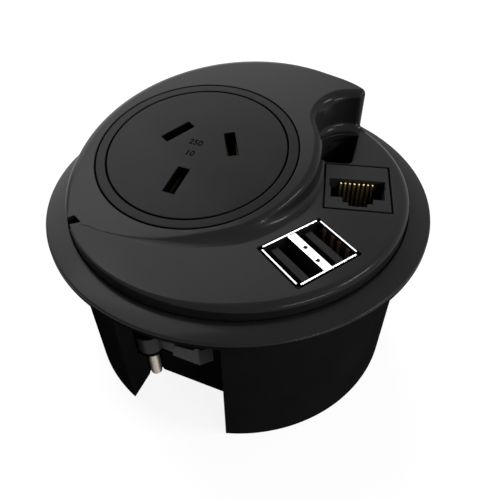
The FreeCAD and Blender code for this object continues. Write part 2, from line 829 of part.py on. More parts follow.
def cable_duct():
    bottom = base_level - base_thickness - duct_drop
    keep_out = pocket_radius + pillar_wall + duct_gap
    outer = cable_prism(duct_wall, bottom, under_fascia)
    outer = outer.cut(cylinder(keep_out, -TALL, TALL, -clamp_x, -clamp_y))
    inner = cable_prism(-duct_inset, bottom - 1, under_fascia + 1)
    inner = inner.cut(cylinder(keep_out + duct_wall, -TALL, TALL, -clamp_x, -clamp_y))
    return outer.cut(inner)


def base_cover():
    bottom = base_level - base_thickness
    plate = cylinder(bore_radius - base_gap, bottom, base_level)
    cuts = []
    reach = channel_half_width + channel_wall + base_gap
    zone = box(-reach, reach, -TALL, -channel_back + channel_wall + base_gap, -TALL, TALL)
    pillar = cylinder(pocket_radius + pillar_wall + base_gap, -TALL, TALL, clamp_x, clamp_y)
    for turn in (0, 180):
        for shape in (zone, pillar):
            copy = shape.copy()
            copy.rotate(Vector(0, 0, 0), Vector(0, 0, 1), turn)
            cuts.append(copy)
    cuts.append(cable_prism(duct_wall + duct_gap, bottom - 1, base_level + 1))
    cuts.append(cylinder(gland_shank_radius + duct_gap, -TALL, 0, gland_x, gland_y))
    for x, y in housing_screw_places:
        cuts.append(cylinder(screw_radius + screw_hole_gap, -TALL, 0, x, y))
    return plate.cut(fuse(cuts))


def housing_screws():
    under = base_level - base_thickness
    screws = []
    for x, y in housing_screw_places:
        head = cylinder(screw_head_radius, under - screw_head_height, under, x, y)
        head = head.makeFillet(screw_head_round, end_edges(head, under - screw_head_height))
        shank = cylinder(screw_radius, under - screw_head_height / 4, base_level + screw_grip - screw_tip_gap, x, y)
        cross_top = under - screw_head_height + cross_depth
        screws.append(fuse([head, shank]).cut(cross_slots(x, y, cross_half_length, -TALL, cross_top)))
    return Part.makeCompound(screws)


def end_edges(shape, level):
    return [edge for edge in shape.Edges if abs(edge.CenterOfMass.z - level) < 0.01]


def cross_slots(x, y, half_length, z0, z1):
    along = box(x - half_length, x + half_length, y - cross_half_width, y + cross_half_width, z0, z1)
    across = box(x - cross_half_width, x + cross_half_width, y - half_length, y + half_length, z0, z1)
    return along.fuse(across)


def hexagon(flats, z0, z1, x, y):
    corner = flats / math.sqrt(3)
    return prism([polar(corner, 60 * number, x, y) for number in range(6)], z0, z1)


def mains_gland():
    under = base_level - base_thickness
    flange = hexagon(gland_flats, under - gland_flange_thickness, under, gland_x, gland_y)
    dome = cylinder(gland_dome_radius, under - gland_drop, under - gland_flange_thickness / 2, gland_x, gland_y)
    dome = dome.makeFillet(gland_dome_round, end_edges(dome, under - gland_drop))
    shank = cylinder(gland_shank_radius, under - gland_flange_thickness / 2, base_level + gland_shank_rise,
                     gland_x, gland_y)
    bore = cylinder(gland_bore_radius, -TALL, TALL, gland_x, gland_y)
    return fuse([flange, dome, shank]).cut(bore)


def gland_lock_nut():
    nut = hexagon(lock_nut_flats, base_level, base_level + lock_nut_height, gland_x, gland_y)
    return nut.cut(cylinder(gland_shank_radius + thread_gap, -TALL, TALL, gland_x, gland_y))


def block_cells():
    return [block_x + (number - 1) * block_length / 3 for number in range(3)]


def mains_terminal_block():
    half = block_length / 2
    side = block_width / 2
    top = base_level + block_height
    block = box(block_x - half, block_x + half, block_y - side, block_y + side, base_level, top)
    for x in block_cells():
        block = block.cut(Part.makeCylinder(block_wire_radius, TALL,
                                            Vector(x, block_y - TALL / 2, base_level + block_wire_level),
                                            Vector(0, 1, 0)))
        block = block.cut(cylinder(block_head_radius + duct_gap, base_level + block_head_level - bush_end_gap,
                                   TALL, x, block_y))
        block = block.cut(cylinder(block_screw_radius + thread_gap,
                                   base_level + block_screw_level - block_hole_drop, TALL, x, block_y))
    return block


def terminal_block_screws():
    screws = []
    for x in block_cells():
        head_bottom = base_level + block_head_level
        head_top = head_bottom + block_head_height
        shank = cylinder(block_screw_radius, base_level + block_screw_level, head_bottom + block_head_height / 2,
                         x, block_y)
        head = cylinder(block_head_radius, head_bottom, head_top, x, block_y)
        slit = box(x - 2 * block_head_radius, x + 2 * block_head_radius, block_y - cross_half_width,
                   block_y + cross_half_width, head_top - block_slit_depth, TALL)
        screws.append(fuse([shank, head]).cut(slit))
    return Part.makeCompound(screws)


def clamp_screw():
    head = cylinder(clamp_head_radius, roof_top, roof_top + clamp_head_height, clamp_x, clamp_y)
    head_top = roof_top + clamp_head_height
    head = head.makeFillet(clamp_head_round, end_edges(head, head_top))
    shank = cylinder(clamp_screw_radius, clamp_screw_end, roof_top + clamp_head_height / 4, clamp_x, clamp_y)
    shank = shank.makeFillet(clamp_end_round, end_edges(shank, clamp_screw_end))
    screw = fuse([head, shank])
    clip_top = roof_bottom - clip_gap
    screw = screw.cut(tube(2 * clamp_screw_radius, clamp_screw_radius - clip_groove_depth,
                           clip_top - clip_height - clip_gap, clip_top, clamp_x, clamp_y))
    return screw.cut(cross_slots(clamp_x, clamp_y, clamp_cross_half_length, head_top - clamp_cross_depth, TALL))


def screw_clip():
    clip_top = roof_bottom - 1.5 * clip_gap
    inner = clamp_screw_radius - clip_groove_depth + clip_play
    ring = tube(clamp_screw_radius + clip_width, inner, clip_top - clip_height, clip_top, clamp_x, clamp_y)
    mouth = box(clamp_x, clamp_x + TALL, clamp_y - inner, clamp_y + inner, -TALL, TALL)
    return ring.cut(mouth)


def clamp_bush():
    hub_bottom = claw_bottom - claw_hub_drop
    hub_top = hub_bottom + claw_hub_height
    low = hub_bottom - bush_end_gap - bush_collar_height
    high = hub_top + bush_end_gap
    bush = fuse([
        cylinder(bush_collar_radius, low, low + bush_collar_height, clamp_x, clamp_y),
        cylinder(bush_neck_radius, low, high + bush_top_height, clamp_x, clamp_y),
        cylinder(bush_top_radius, high, high + bush_top_height, clamp_x, clamp_y)])
    return bush.cut(cylinder(clamp_screw_radius + clamp_running_gap, -TALL, TALL, clamp_x, clamp_y))


def clamp_claw():
    """Hub on the bush, and an arm that lies along the back of the channel until it swings out."""
    hub_bottom = claw_bottom - claw_hub_drop
    hub = cylinder(claw_hub_radius, hub_bottom, hub_bottom + claw_hub_height, clamp_x, clamp_y)
    back = -channel_back - claw_wall_gap
    front = back - claw_thickness
    tip = clamp_x + claw_reach
    step_low = clamp_x + claw_step[0]
    step_high = clamp_x + claw_step[1]
    root_top = claw_bottom + claw_root_height
    end_top = claw_bottom + claw_end_height
    plan = prism([(clamp_x, back), (tip, back), (tip - claw_thickness, front), (clamp_x, front)],
                 claw_bottom, claw_bottom + TALL / 4)
    tooth = [(tip + x, end_top + z) for x, z in claw_tooth]
    side = [(clamp_x, claw_bottom), (tip, claw_bottom), (tip, end_top)] + tooth + [
        (clamp_x + claw_root_length, root_top), (clamp_x, root_top)]
    corners = [Vector(x, -TALL, z) for x, z in side]
    face = Part.Face(Part.makePolygon(corners + corners[:1]))
    arm = plan.common(face.extrude(Vector(0, 2 * TALL, 0)))
    thin = [(clamp_x, claw_bottom - 1), (step_low, claw_bottom - 1), (step_high, end_top), (clamp_x, end_top)]
    corners = [Vector(x, front - 1, z) for x, z in thin]
    face = Part.Face(Part.makePolygon(corners + corners[:1]))
    arm = arm.cut(face.extrude(Vector(0, 1 + claw_thin, 0)))
    claw = fuse([hub, arm])
    return claw.cut(cylinder(bush_neck_radius + clamp_running_gap, -TALL, TALL, clamp_x, clamp_y))


def turned_about(shape, degrees):
    copy = shape.copy()
    copy.rotate(Vector(0, 0, 0), Vector(0, 0, 1), degrees)
    return copy


def pieces():
    made = {
        "flange_sleeve": flange_sleeve(),
        "top_fascia": top_fascia(),
        "socket_face": socket_face(),
        "socket_trim_ring": socket_trim_ring(),
        "socket_body": socket_body(),
        "active_contact": contact("active"),
        "neutral_contact": contact("neutral"),
        "earth_contact": contact("earth"),
        "socket_terminal_screws": socket_terminal_screws(),
        "socket_fixing_screws": socket_fixing_screws(),
        "usb_shell": usb_shell(),
        "usb_divider": usb_divider(),
        "usb_insulator": usb_insulator(),
        "usb_tongues": usb_tongues(),
        "usb_contacts": usb_contacts(),
        "charger_board": charger_board(),
        "board_screws": board_screws(),
        "transformer": transformer(),
        "capacitors": capacitors(),
        "charger_chip": charger_chip(),
        "jack_body": jack_body(),
        "jack_contacts": jack_contacts(),
        "jack_rear_cap": jack_rear_cap(),
        "cable_duct": cable_duct(),
        "base_cover": base_cover(),
        "housing_screws": housing_screws(),
        "mains_gland": mains_gland(),
        "gland_lock_nut": gland_lock_nut(),
        "mains_terminal_block": mains_terminal_block(),
        "terminal_block_screws": terminal_block_screws()}
    for side, degrees in (("front", 0), ("rear", 180)):
        made[side + "_clamp_screw"] = turned_about(clamp_screw(), degrees)
        made[side + "_screw_clip"] = turned_about(screw_clip(), degrees)
        made[side + "_clamp_bush"] = turned_about(clamp_bush(), degrees)
        made[side + "_clamp_claw"] = turned_about(clamp_claw(), degrees)
    return made


os.makedirs("parts", exist_ok=True)
for node, shape in pieces().items():
    shape.exportStep("parts/" + node + ".step")
    print(node, len(shape.Solids), "solids", "%.1f mm3" % shape.Volume, "valid" if shape.isValid() else "NOT VALID")
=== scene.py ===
import json
import math

import bpy
from mathutils import Matrix, Vector


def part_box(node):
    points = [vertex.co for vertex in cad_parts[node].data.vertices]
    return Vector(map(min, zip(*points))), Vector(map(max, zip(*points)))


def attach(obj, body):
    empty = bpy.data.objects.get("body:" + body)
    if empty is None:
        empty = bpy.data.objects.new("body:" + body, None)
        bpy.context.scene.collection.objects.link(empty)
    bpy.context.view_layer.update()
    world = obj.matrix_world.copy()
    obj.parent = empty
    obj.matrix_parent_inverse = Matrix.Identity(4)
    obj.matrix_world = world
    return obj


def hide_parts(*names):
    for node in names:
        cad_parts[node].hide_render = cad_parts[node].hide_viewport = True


bl_info = {
    "name": "In-desk power module",
    "version": (1, 0, 0),
    "blender": (4, 5, 0),
    "location": "3D View > Sidebar > Power module",
    "description": "Dresses the round desk power module with its mouldings, sockets, clamps and finishes, "
                   "and sets up the studio",
    "category": "Object",
}

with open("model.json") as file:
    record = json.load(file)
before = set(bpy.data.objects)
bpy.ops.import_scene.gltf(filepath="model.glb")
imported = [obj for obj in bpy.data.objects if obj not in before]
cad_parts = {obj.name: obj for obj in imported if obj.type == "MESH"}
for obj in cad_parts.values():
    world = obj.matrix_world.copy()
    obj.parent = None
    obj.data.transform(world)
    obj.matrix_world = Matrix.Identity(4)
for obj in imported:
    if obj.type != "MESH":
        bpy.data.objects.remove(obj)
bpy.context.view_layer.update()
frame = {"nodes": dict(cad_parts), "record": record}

MM = 0.001
HOUSING = "housing"
SIDES = (("front", 1), ("rear", -1))
SLOTS = {part["node"]: part["material_slot"] for part in frame["record"]["subparts"]}

# The clamp screws are threaded between these heights
THREAD_LOW = -39.0 * MM
THREAD_TOP = -5.0 * MM

# In millimetres: the cable opening and its end wall, the nick for prying, and the housing screws
CABLE_CORNERS = ((14.9, 13.2), (22.4, 15.2), (20.8, 27.9), (13.6, 16.3))
CABLE_WALL = ((20.8, 27.9), (16.0, 26.3), (12.9, 21.3))
PRY_NICK = ((-27.9, -27.2), (-26.4, -28.6), (-23.9, -26.8), (-26.3, -25.7))
SCREW_PLACES = ((-24.5, 23.5), (-24.5, -23.0), (32.9, -5.8))

# On the socket's face, in millimetres and degrees: the figures with their places, and the slots with the
# direction and distance of their middle, the direction of their long side and their width
FIGURES = (("250", -1.1, 1.8), ("10", -0.9, -1.8))
SLOT_PLACES = ((150, 7.92, 60, 2.5), (30, 7.92, 120, 2.5), (-90, 10.31, 90, 2.9))

# In millimetres: the dimples of the USB divider, and the rows of copper strips beside it, in the painted
# shade copper
DIMPLES = ((0.1, 1.25), (-0.2, -2.9))
COPPER_STRIP_ROWS = (-3.5, -1.0, 1.0, 3.5)

# The camera, fitted to the photograph's ellipses
CAMERA_PLACE = (0.039288, -0.087420, 0.076477)
CAMERA_RIGHT = (0.92253499, 0.38591196, 0.00106961)
CAMERA_DOWN = (0.27175353, -0.64766269, -0.71181673)
CAMERA_FORWARD = (-0.27400584, 0.65696652, -0.70236443)

# The low level's edge is crisp at the front left and rounder past these directions
CRISP_EDGE = 0.35 * MM
CRISP_TURNS = (245.0, 305.0)

# The step between the levels, seen from the socket's middle: direction in degrees, and in millimetres the
# reach of the wall, the width of its rounded top edge and the width of the hollow curve at its foot
STEP_LINE = (
    (-118.6, 32.5, 0.1, 0.1), (-114.0, 30.1, 0.3, 0.4), (-108.0, 29.1, 0.4, 0.6), (-100.0, 27.85, 0.5, 0.9),
    (-92.0, 26.95, 0.6, 1.25), (-82.0, 26.15, 0.8, 1.65), (-70.0, 25.35, 1.0, 2.3), (-58.0, 25.05, 1.1, 2.8),
    (-45.0, 25.5, 1.1, 3.1), (-30.0, 26.0, 1.2, 2.7), (-16.0, 26.6, 1.45, 2.0), (0.0, 27.6, 1.8, 1.5),
    (15.0, 28.2, 2.0, 1.7), (35.0, 29.0, 2.1, 2.2))
DEGREES, REACH, ROUNDING, FOOT = range(4)

# Where an entry of the raised level's plan has its rounding, its foot and the stretch that it belongs to
PLAN_ROUNDING, PLAN_FOOT, PLAN_STRETCH = 4, 5, 6


def length(name, millimetres, description):
    return bpy.props.FloatProperty(name=name, description=description, default=millimetres * MM,
                                   unit="LENGTH", precision=5)


def turn(name, degrees, description):
    return bpy.props.FloatProperty(name=name, description=description, default=math.radians(degrees),
                                   subtype="ANGLE")


def colour(name, value):
    return bpy.props.FloatVectorProperty(name=name, description="Colour of the " + name.lower(),
                                         default=value, size=3, min=0.0, max=1.0, subtype="COLOR")


def power(name, watts, description):
    return bpy.props.FloatProperty(name=name, description=description, default=watts, unit="POWER")


class HousingSizes(bpy.types.PropertyGroup):
    """Sizes of the flange, the sleeve and the two-level fascia."""
    flange_radius: length("Flange radius", 43.5, "Outer radius of the desk flange")
    flange_round: length("Flange edge", 0.5, "Rounding of the flange's outer edge")
    flange_foot: length("Flange foot", 1.03, "Straight part under the rounding")
    flange_slope: turn("Flange slope", 12.0, "Slope of the domed flange at its outer edge")
    sleeve_radius: length("Sleeve radius", 39.5, "Outer radius of the sleeve")
    sleeve_depth: length("Sleeve depth", 40.0, "Depth of the sleeve below the desk's top face")
    sleeve_wall: length("Sleeve wall", 2.0, "Wall of the sleeve")
    fascia_radius: length("Fascia radius", 38.4, "Outer radius of the fascia")
    fascia_shell: length("Fascia shell", 2.2, "Wall of the fascia")
    low_level: length("Low level", 5.2, "Height of the low level above the desk")
    low_round: length("Low rounding", 1.6, "Rounding of the low level's outer edge")
    raised_level: length("Raised level", 10.02, "Height of the tilted level at the middle of the module")
    raised_tilt: turn("Tilt", 9.9, "Tilt of the raised level")
    outer_round: length("Outer rounding", 2.9, "Rounding of the raised level's outer edge")
    tip_round: length("Tip rounding", 1.55, "Rounding of the raised level at its tip")
    tip_corner: length("Tip corner", 1.6, "Upright rounding of the tip")
    foot_round: length("Foot curve", 2.2, "Hollow curve at the foot of the raised level")
    neck_radius: length("Neck radius", 29.0, "Radius of the raised level's wall round the socket")
    notch_radius: length("Hollow radius", 8.5, "Radius of the hollow at the back right")
    notch_direction: turn("Hollow direction", 35.0, "Direction of the hollow from the socket's middle")
    socket_x: length("Socket X", -10.46, "Middle of the mains socket")
    socket_y: length("Socket Y", 0.29, "Middle of the mains socket")
    socket_hole: length("Socket hole", 23.45, "Radius of the fascia's hole for the socket")


class FittingSizes(bpy.types.PropertyGroup):
    """Places of the sockets in the low level, and the front clamp's sizes, which the rear one shares."""
    usb_x: length("USB X", 22.25, "Middle of the USB sockets")
    usb_y: length("USB Y", -16.5, "Middle of the USB sockets")
    usb_direction: turn("USB direction", 57.3, "Direction of the USB sockets' long side")
    usb_hole_length: length("USB hole length", 16.0, "Length of the hole for the USB sockets")
    usb_hole_width: length("USB hole width", 13.1, "Width of the hole for the USB sockets")
    jack_x: length("Jack X", 25.86, "Middle of the data jack")
    jack_y: length("Jack Y", 7.13, "Middle of the data jack")
    jack_direction: turn("Jack direction", 15.1, "Direction of the jack's short side")
    jack_hole_width: length("Jack hole width", 15.04, "Width of the hole for the data jack")
    jack_hole_height: length("Jack hole height", 16.74, "Height of the hole for the data jack")
    channel_width: length("Channel width", 24.8, "Width of a clamp channel")
    channel_back: length("Channel back", 27.7, "Distance of a channel's back wall from the middle")
    clamp_x: length("Clamp X", -10.8, "Place of the front clamp screw")
    clamp_y: length("Clamp Y", -29.2, "Place of the front clamp screw")
    pocket_radius: length("Pocket radius", 3.8, "Radius of the pocket for the clamp bush")
    screw_radius: length("Screw radius", 1.45, "Outer radius of the clamp screw")
    thread_pitch: length("Thread pitch", 0.5, "Pitch of the clamp screw's thread")
    thread_depth: length("Thread depth", 0.25, "Depth of the clamp screw's thread")
    slot_length: length("Slot length", 7.75, "Length of a slot of the mains socket")


class FinishColours(bpy.types.PropertyGroup):
    """Colours of the finishes."""
    satin_black: colour("Satin black", (0.013, 0.013, 0.0132))
    matt_black: colour("Matt black", (0.012, 0.012, 0.0122))
    socket_black: colour("Socket black", (0.013, 0.013, 0.0132))
    # Near black: painted shade for the pry nick, the socket's grooves and slots, and the figures' sunk ground
    deep_black: colour("Deep black", (0.003, 0.003, 0.003))
    inner_black: colour("Inner black", (0.008, 0.008, 0.008))
    jack_black: colour("Jack black", (0.02, 0.02, 0.0205))
    tongue_grey: colour("Tongue grey", (0.014, 0.014, 0.0145))
    bright_nickel: colour("Bright nickel", (0.86, 0.86, 0.87))
    # Near black: painted shade on the nickel inside the USB ports
    dark_nickel: colour("Dark nickel", (0.006, 0.006, 0.006))
    gold_flash: colour("Gold flash", (0.9, 0.7, 0.28))
    # Copper brown: the contacts' colour darkened as painted shade deep in the USB ports
    worn_copper: colour("Worn copper", (0.16, 0.085, 0.045))
    # Brass darkened as painted shade for the contacts deep in the mains slots
    plain_brass: colour("Plain brass", (0.03, 0.023, 0.012))
    zinc_plate: colour("Zinc plate", (0.42, 0.385, 0.33))
    plain_steel: colour("Plain steel", (0.55, 0.55, 0.56))
    dull_casting: colour("Dull casting", (0.03, 0.03, 0.031))
    # Near black: painted shade on the metal clamp bush under the flange
    pale_casting: colour("Pale casting", (0.003, 0.003, 0.003))
    green_laminate: colour("Green laminate", (0.02, 0.09, 0.035))
    ferrite: colour("Ferrite", (0.03, 0.03, 0.032))
    can_metal: colour("Can metal", (0.7, 0.7, 0.72))
    cream_plastic: colour("Cream plastic", (0.62, 0.6, 0.55))
    black_nylon: colour("Black nylon", (0.014, 0.014, 0.014))


class StageLook(bpy.types.PropertyGroup):
    """Strength of the lamps and of the pale surroundings."""
    softbox_power: power("Softbox power", 3.9, "Power of the large lamp at the back left")
    high_power: power("High lamp power", 1.2, "Power of the small lamp above")
    right_power: power("Right lamp power", 1.6, "Power of the strip at the right")
    strip_power: power("Low strip power", 1.3, "Power of the low strip that draws the bright edges")
    floor_glow: bpy.props.FloatProperty(name="Floor glow", default=0.88, min=0.0, max=1.0,
                                        description="How white the floor looks to the camera")
    lens: bpy.props.FloatProperty(name="Lens", default=37.28, description="Focal length in millimetres")


def sizes():
    return bpy.context.scene.module_sizes


def fittings():
    return bpy.context.scene.module_fittings


# Tools of the bench: selection, plain tool bodies, cutting and joining

def ready():
    if bpy.context.object and bpy.context.object.mode != "OBJECT":
        bpy.ops.object.mode_set(mode="OBJECT")
    bpy.ops.object.select_all(action="DESELECT")


def select_only(piece):
    ready()
    piece.select_set(True)
    bpy.context.view_layer.objects.active = piece


def open_mesh(piece):
    """Edit mode, with the whole mesh selected."""
    select_only(piece)
    bpy.ops.object.mode_set(mode="EDIT")
    bpy.ops.mesh.select_all(action="SELECT")


def close_mesh():
    bpy.ops.object.mode_set(mode="OBJECT")


def settled(name=None):
    """The piece just added, with its place moved into its mesh."""
    piece = bpy.context.object
    select_only(piece)
    bpy.ops.object.transform_apply(location=True, rotation=True, scale=True)
    if name:
        piece.name = name
        piece.data.name = name
    return piece


def rod(radius, low, high, x=0.0, y=0.0, sides=96):
    ready()
    bpy.ops.mesh.primitive_cylinder_add(vertices=sides, radius=radius, depth=high - low,
                                        location=(x, y, (low + high) / 2))
    return settled()


def block(x0, x1, y0, y1, z0, z1):
    ready()
    bpy.ops.mesh.primitive_cube_add(size=1.0, location=((x0 + x1) / 2, (y0 + y1) / 2, (z0 + z1) / 2),
                                    scale=(x1 - x0, y1 - y0, z1 - z0))
    return settled()


def combine(piece, operation, tools):
    for tool in tools:
        select_only(piece)
        modifier = piece.modifiers.new("combine", "BOOLEAN")
        modifier.operation = operation
        modifier.solver = "EXACT"
        modifier.object = tool
        bpy.ops.object.modifier_apply(modifier=modifier.name)
        bpy.data.objects.remove(tool)
        weld(piece)
    return piece


def weld(piece):
    """Joins corners that a cut has left within a thousandth of a millimetre of each other."""
    open_mesh(piece)
    bpy.ops.mesh.remove_doubles(threshold=0.001 * MM)
    close_mesh()


def carve(piece, *tools):
    return combine(piece, "DIFFERENCE", tools)


def add_to(piece, *tools):
    return combine(piece, "UNION", tools)


def keep_inside(piece, *tools):
    return combine(piece, "INTERSECT", tools)


def skin(name, rings):
    """A closed body through rings of points, with a flat face on the first and the last ring."""
    count = len(rings[0])
    corners = [point for ring in rings for point in ring]
    faces = [list(range(count))[::-1], [count * (len(rings) - 1) + step for step in range(count)]]
    for level in range(len(rings) - 1):
        for step in range(count):
            after = (step + 1) % count
            faces.append([level * count + step, level * count + after,
                          (level + 1) * count + after, (level + 1) * count + step])
    mesh = bpy.data.meshes.new(name)
    mesh.from_pydata(corners, [], faces)
    piece = bpy.data.objects.new(name, mesh)
    bpy.context.scene.collection.objects.link(piece)
    outward(piece)
    open_mesh(piece)
    bpy.ops.mesh.quads_convert_to_tris(quad_method="SHORTEST_DIAGONAL")
    close_mesh()
    return piece


def outward(piece):
    """Joins doubled corners and turns all faces outwards."""
    open_mesh(piece)
    bpy.ops.mesh.remove_doubles(threshold=0.000001)
    bpy.ops.mesh.normals_make_consistent(inside=False)
    close_mesh()
    return piece


def spun(name, profile, steps=192, x=0.0, y=0.0):
    """A full turn about an upright axis of a closed profile of (radius, height) points."""
    mesh = bpy.data.meshes.new(name)
    count = len(profile)
    mesh.from_pydata([(x + radius, y, height) for radius, height in profile],
                     [(step, (step + 1) % count) for step in range(count)], [])
    piece = bpy.data.objects.new(name, mesh)
    bpy.context.scene.collection.objects.link(piece)
    open_mesh(piece)
    bpy.ops.mesh.spin(steps=steps, angle=2 * math.pi, center=(x, y, 0), axis=(0, 0, 1))
    return outward(piece)


def arc(x, y, radius, start, end, steps, include_end=True):
    """Points of an arc, in degrees."""
    points = []
    for step in range(steps + 1 if include_end else steps):
        angle = math.radians(start + (end - start) * step / steps)
        points.append((x + radius * math.cos(angle), y + radius * math.sin(angle)))
    return points


def offset(points, distance):
    """The outline of anticlockwise points, grown by a distance."""
    grown = []
    count = len(points)
    for number, (x, y) in enumerate(points):
        before = points[number - 1]
        after = points[(number + 1) % count]
        first = Vector((y - before[1], before[0] - x)).normalized()
        second = Vector((after[1] - y, x - after[0])).normalized()
        middle = (first + second).normalized()
        reach = distance / max(0.3, middle.dot(first))
        grown.append((x + middle.x * reach, y + middle.y * reach))
    return grown


def mouth_tool(points, low, top, rounding=0.2 * MM, steps=4):
    """A tool for a hole of that outline through a face at height top, with a rounded mouth."""
    rings = [[(x, y, low) for x, y in points]]
    for step in range(steps + 1):
        angle = math.pi / 2 * step / steps
        outline = offset(points, rounding * (1 - math.cos(angle)))
        rings.append([(x, y, top - rounding * (1 - math.sin(angle))) for x, y in outline])
    outline = offset(points, rounding * 1.02)
    rings.append([(x, y, top + 12 * MM) for x, y in outline])
    return skin("tool", rings)


def rectangle(half_x, half_y, corner=0.25 * MM, steps=4):
    points = []
    for x, y, start in ((1, 1, 0), (-1, 1, 90), (-1, -1, 180), (1, -1, 270)):
        points += arc(x * (half_x - corner), y * (half_y - corner), corner, start, start + 90, steps)
    return points


def put(piece, x, y, z, direction=0.0, tilt=0.0):
    """Turns the piece about Z and then about X, moves it, and keeps its place in its mesh."""
    select_only(piece)
    piece.matrix_world = (Matrix.Translation((x, y, z)) @ Matrix.Rotation(tilt, 4, "X")
                          @ Matrix.Rotation(math.radians(direction), 4, "Z"))
    return settled()


def on_socket(piece, x=0.0, y=0.0, direction=0.0):
    """Puts a piece made round the socket's middle on the tilted level."""
    s = sizes()
    if x or y or direction:
        put(piece, x, y, 0.0, direction)
    return put(piece, s.socket_x, s.socket_y, plane_height(s.socket_y), 0.0, s.raised_tilt)


def on_usb(piece):
    f = fittings()
    return put(piece, f.usb_x, f.usb_y, sizes().low_level, math.degrees(f.usb_direction))


def on_jack(piece):
    f = fittings()
    return put(piece, f.jack_x, f.jack_y, sizes().low_level, math.degrees(f.jack_direction))


def softened(node, width, finish=None, body=HOUSING, angle=35.0, segments=2):
    """The CAD form with its edges slightly rounded."""
    piece = copy_of(node)
    open_mesh(piece)
    bpy.ops.mesh.dissolve_limited(angle_limit=math.radians(0.4), delimit=set())
    close_mesh()
    modifier = piece.modifiers.new("soft edges", "BEVEL")
    modifier.width = width
    modifier.segments = segments
    modifier.limit_method = "ANGLE"
    modifier.angle_limit = math.radians(angle)
    modifier.use_clamp_overlap = True
    bpy.ops.object.modifier_apply(modifier=modifier.name)
    smooth(piece)
    stands_for(piece, node, finish, body)
    return piece


def smooth(piece, angle=30.0):
    """Soft shading, with flat faces kept flat and edges sharper than the angle kept sharp."""
    select_only(piece)
    bpy.ops.object.shade_smooth_by_angle(angle=math.radians(angle))
    modifier = piece.modifiers.new("flat faces lead", "WEIGHTED_NORMAL")
    modifier.keep_sharp = True
    modifier.weight = 50
    bpy.ops.object.modifier_apply(modifier=modifier.name)
    return piece


def stands_for(piece, node, finish=None, body=HOUSING):
    """Names the piece after the CAD node, hangs it on its body, hides the node, and gives it the finish of
    the node's slot if none is given.
    """
    slot = SLOTS[node]
    piece.name = node + "_dressed"
    piece.data.name = piece.name
    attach(piece, body)
    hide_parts(node)
    coat(piece, finish or SLOT_FINISH[slot])


def copy_of(node):
    """The CAD node's form as a new piece, its loose triangles joined."""
    piece = frame["nodes"][node].copy()
    piece.data = piece.data.copy()
    piece.parent = None
    for key in list(piece.keys()):
        del piece[key]
    bpy.context.scene.collection.objects.link(piece)
    open_mesh(piece)
    bpy.ops.mesh.remove_doubles(threshold=0.000002)
    bpy.ops.mesh.select_all(action="DESELECT")
    close_mesh()
    return piece


# Finishes

def finish_nodes(name):
    material = bpy.data.materials.new(name)
    material.use_nodes = True
    tree = material.node_tree
    return material, tree, tree.nodes["Principled BSDF"]


def noise_of(tree, place, scale, detail=2.0):
    texture = tree.nodes.new("ShaderNodeTexNoise")
    texture.inputs["Scale"].default_value = scale
    texture.inputs["Detail"].default_value = detail
    tree.links.new(place.outputs["Object"], texture.inputs["Vector"])
    return texture


def span_of(tree, source, low, high):
    spread = tree.nodes.new("ShaderNodeMapRange")
    spread.inputs["From Min"].default_value = 0.3
    spread.inputs["From Max"].default_value = 0.7
    spread.inputs["To Min"].default_value = low
    spread.inputs["To Max"].default_value = high
    tree.links.new(source, spread.inputs["Value"])
    return spread.outputs["Result"]


def surface(name, shade, rough, metal=0.0, grain=2600.0, relief=0.000004, change=0.12, spread=0.05,
            specular=0.5, coat_weight=0.0, coat_rough=0.1):
    """A finish with fine relief, uneven gloss and slight changes of shade."""
    material, tree, shader = finish_nodes(name)
    place = tree.nodes.new("ShaderNodeTexCoord")
    broad = noise_of(tree, place, 90.0, 3.0)
    fine = noise_of(tree, place, grain, 2.0)
    shades = tree.nodes.new("ShaderNodeMix")
    shades.data_type = "RGBA"
    shades.inputs["A"].default_value = [value * (1 - change) for value in shade] + [1.0]
    shades.inputs["B"].default_value = [min(1.0, value * (1 + change)) for value in shade] + [1.0]
    tree.links.new(span_of(tree, broad.outputs["Fac"], 0.0, 1.0), shades.inputs["Factor"])
    tree.links.new(shades.outputs["Result"], shader.inputs["Base Color"])
    gloss = span_of(tree, fine.outputs["Fac"], rough - spread, rough + spread)
    tree.links.new(gloss, shader.inputs["Roughness"])
    bump = tree.nodes.new("ShaderNodeBump")
    bump.inputs["Strength"].default_value = 1.0
    bump.inputs["Distance"].default_value = relief
    tree.links.new(fine.outputs["Fac"], bump.inputs["Height"])
    tree.links.new(bump.outputs["Normal"], shader.inputs["Normal"])
    shader.inputs["Metallic"].default_value = metal
    shader.inputs["Specular IOR Level"].default_value = specular
    shader.inputs["Coat Weight"].default_value = coat_weight
    shader.inputs["Coat Roughness"].default_value = coat_rough
    return material


# What the finishes have besides their colour; relief is in metres
FINISHES = {
    "satin black": dict(rough=0.34, relief=0.000001, specular=0.05, coat_weight=0.13, coat_rough=0.14),
    "matt black": dict(rough=0.6, relief=0.000003, specular=0.0),
    "socket black": dict(rough=0.36, relief=0.000001, specular=0.05, coat_weight=0.03),
    "deep black": dict(rough=0.7, relief=0.000001, specular=0.0),
    "inner black": dict(rough=0.6, specular=0.05),
    "jack black": dict(rough=0.4, specular=0.08),
    "tongue grey": dict(rough=0.5, specular=0.1),
    "bright nickel": dict(rough=0.24, metal=1.0),
    "dark nickel": dict(rough=0.5, specular=0.1, relief=0.000001),
    "gold flash": dict(rough=0.3, metal=1.0, relief=0.0000002, change=0.04, spread=0.02),
    "worn copper": dict(rough=0.5, metal=0.5, relief=0.000001),
    "plain brass": dict(rough=0.6, metal=1.0, relief=0.000001),
    "zinc plate": dict(rough=0.5, metal=1.0, relief=0.00001),
    "plain steel": dict(rough=0.35, metal=1.0),
    "dull casting": dict(rough=0.45, grain=1500.0, relief=0.000008, specular=0.1),
    "pale casting": dict(rough=0.5, specular=0.0, grain=1500.0, relief=0.000008),
    "green laminate": dict(rough=0.4),
    "ferrite": dict(rough=0.7),
    "can metal": dict(rough=0.3, metal=1.0),
    "cream plastic": dict(rough=0.45),
    "black nylon": dict(rough=0.5),
}
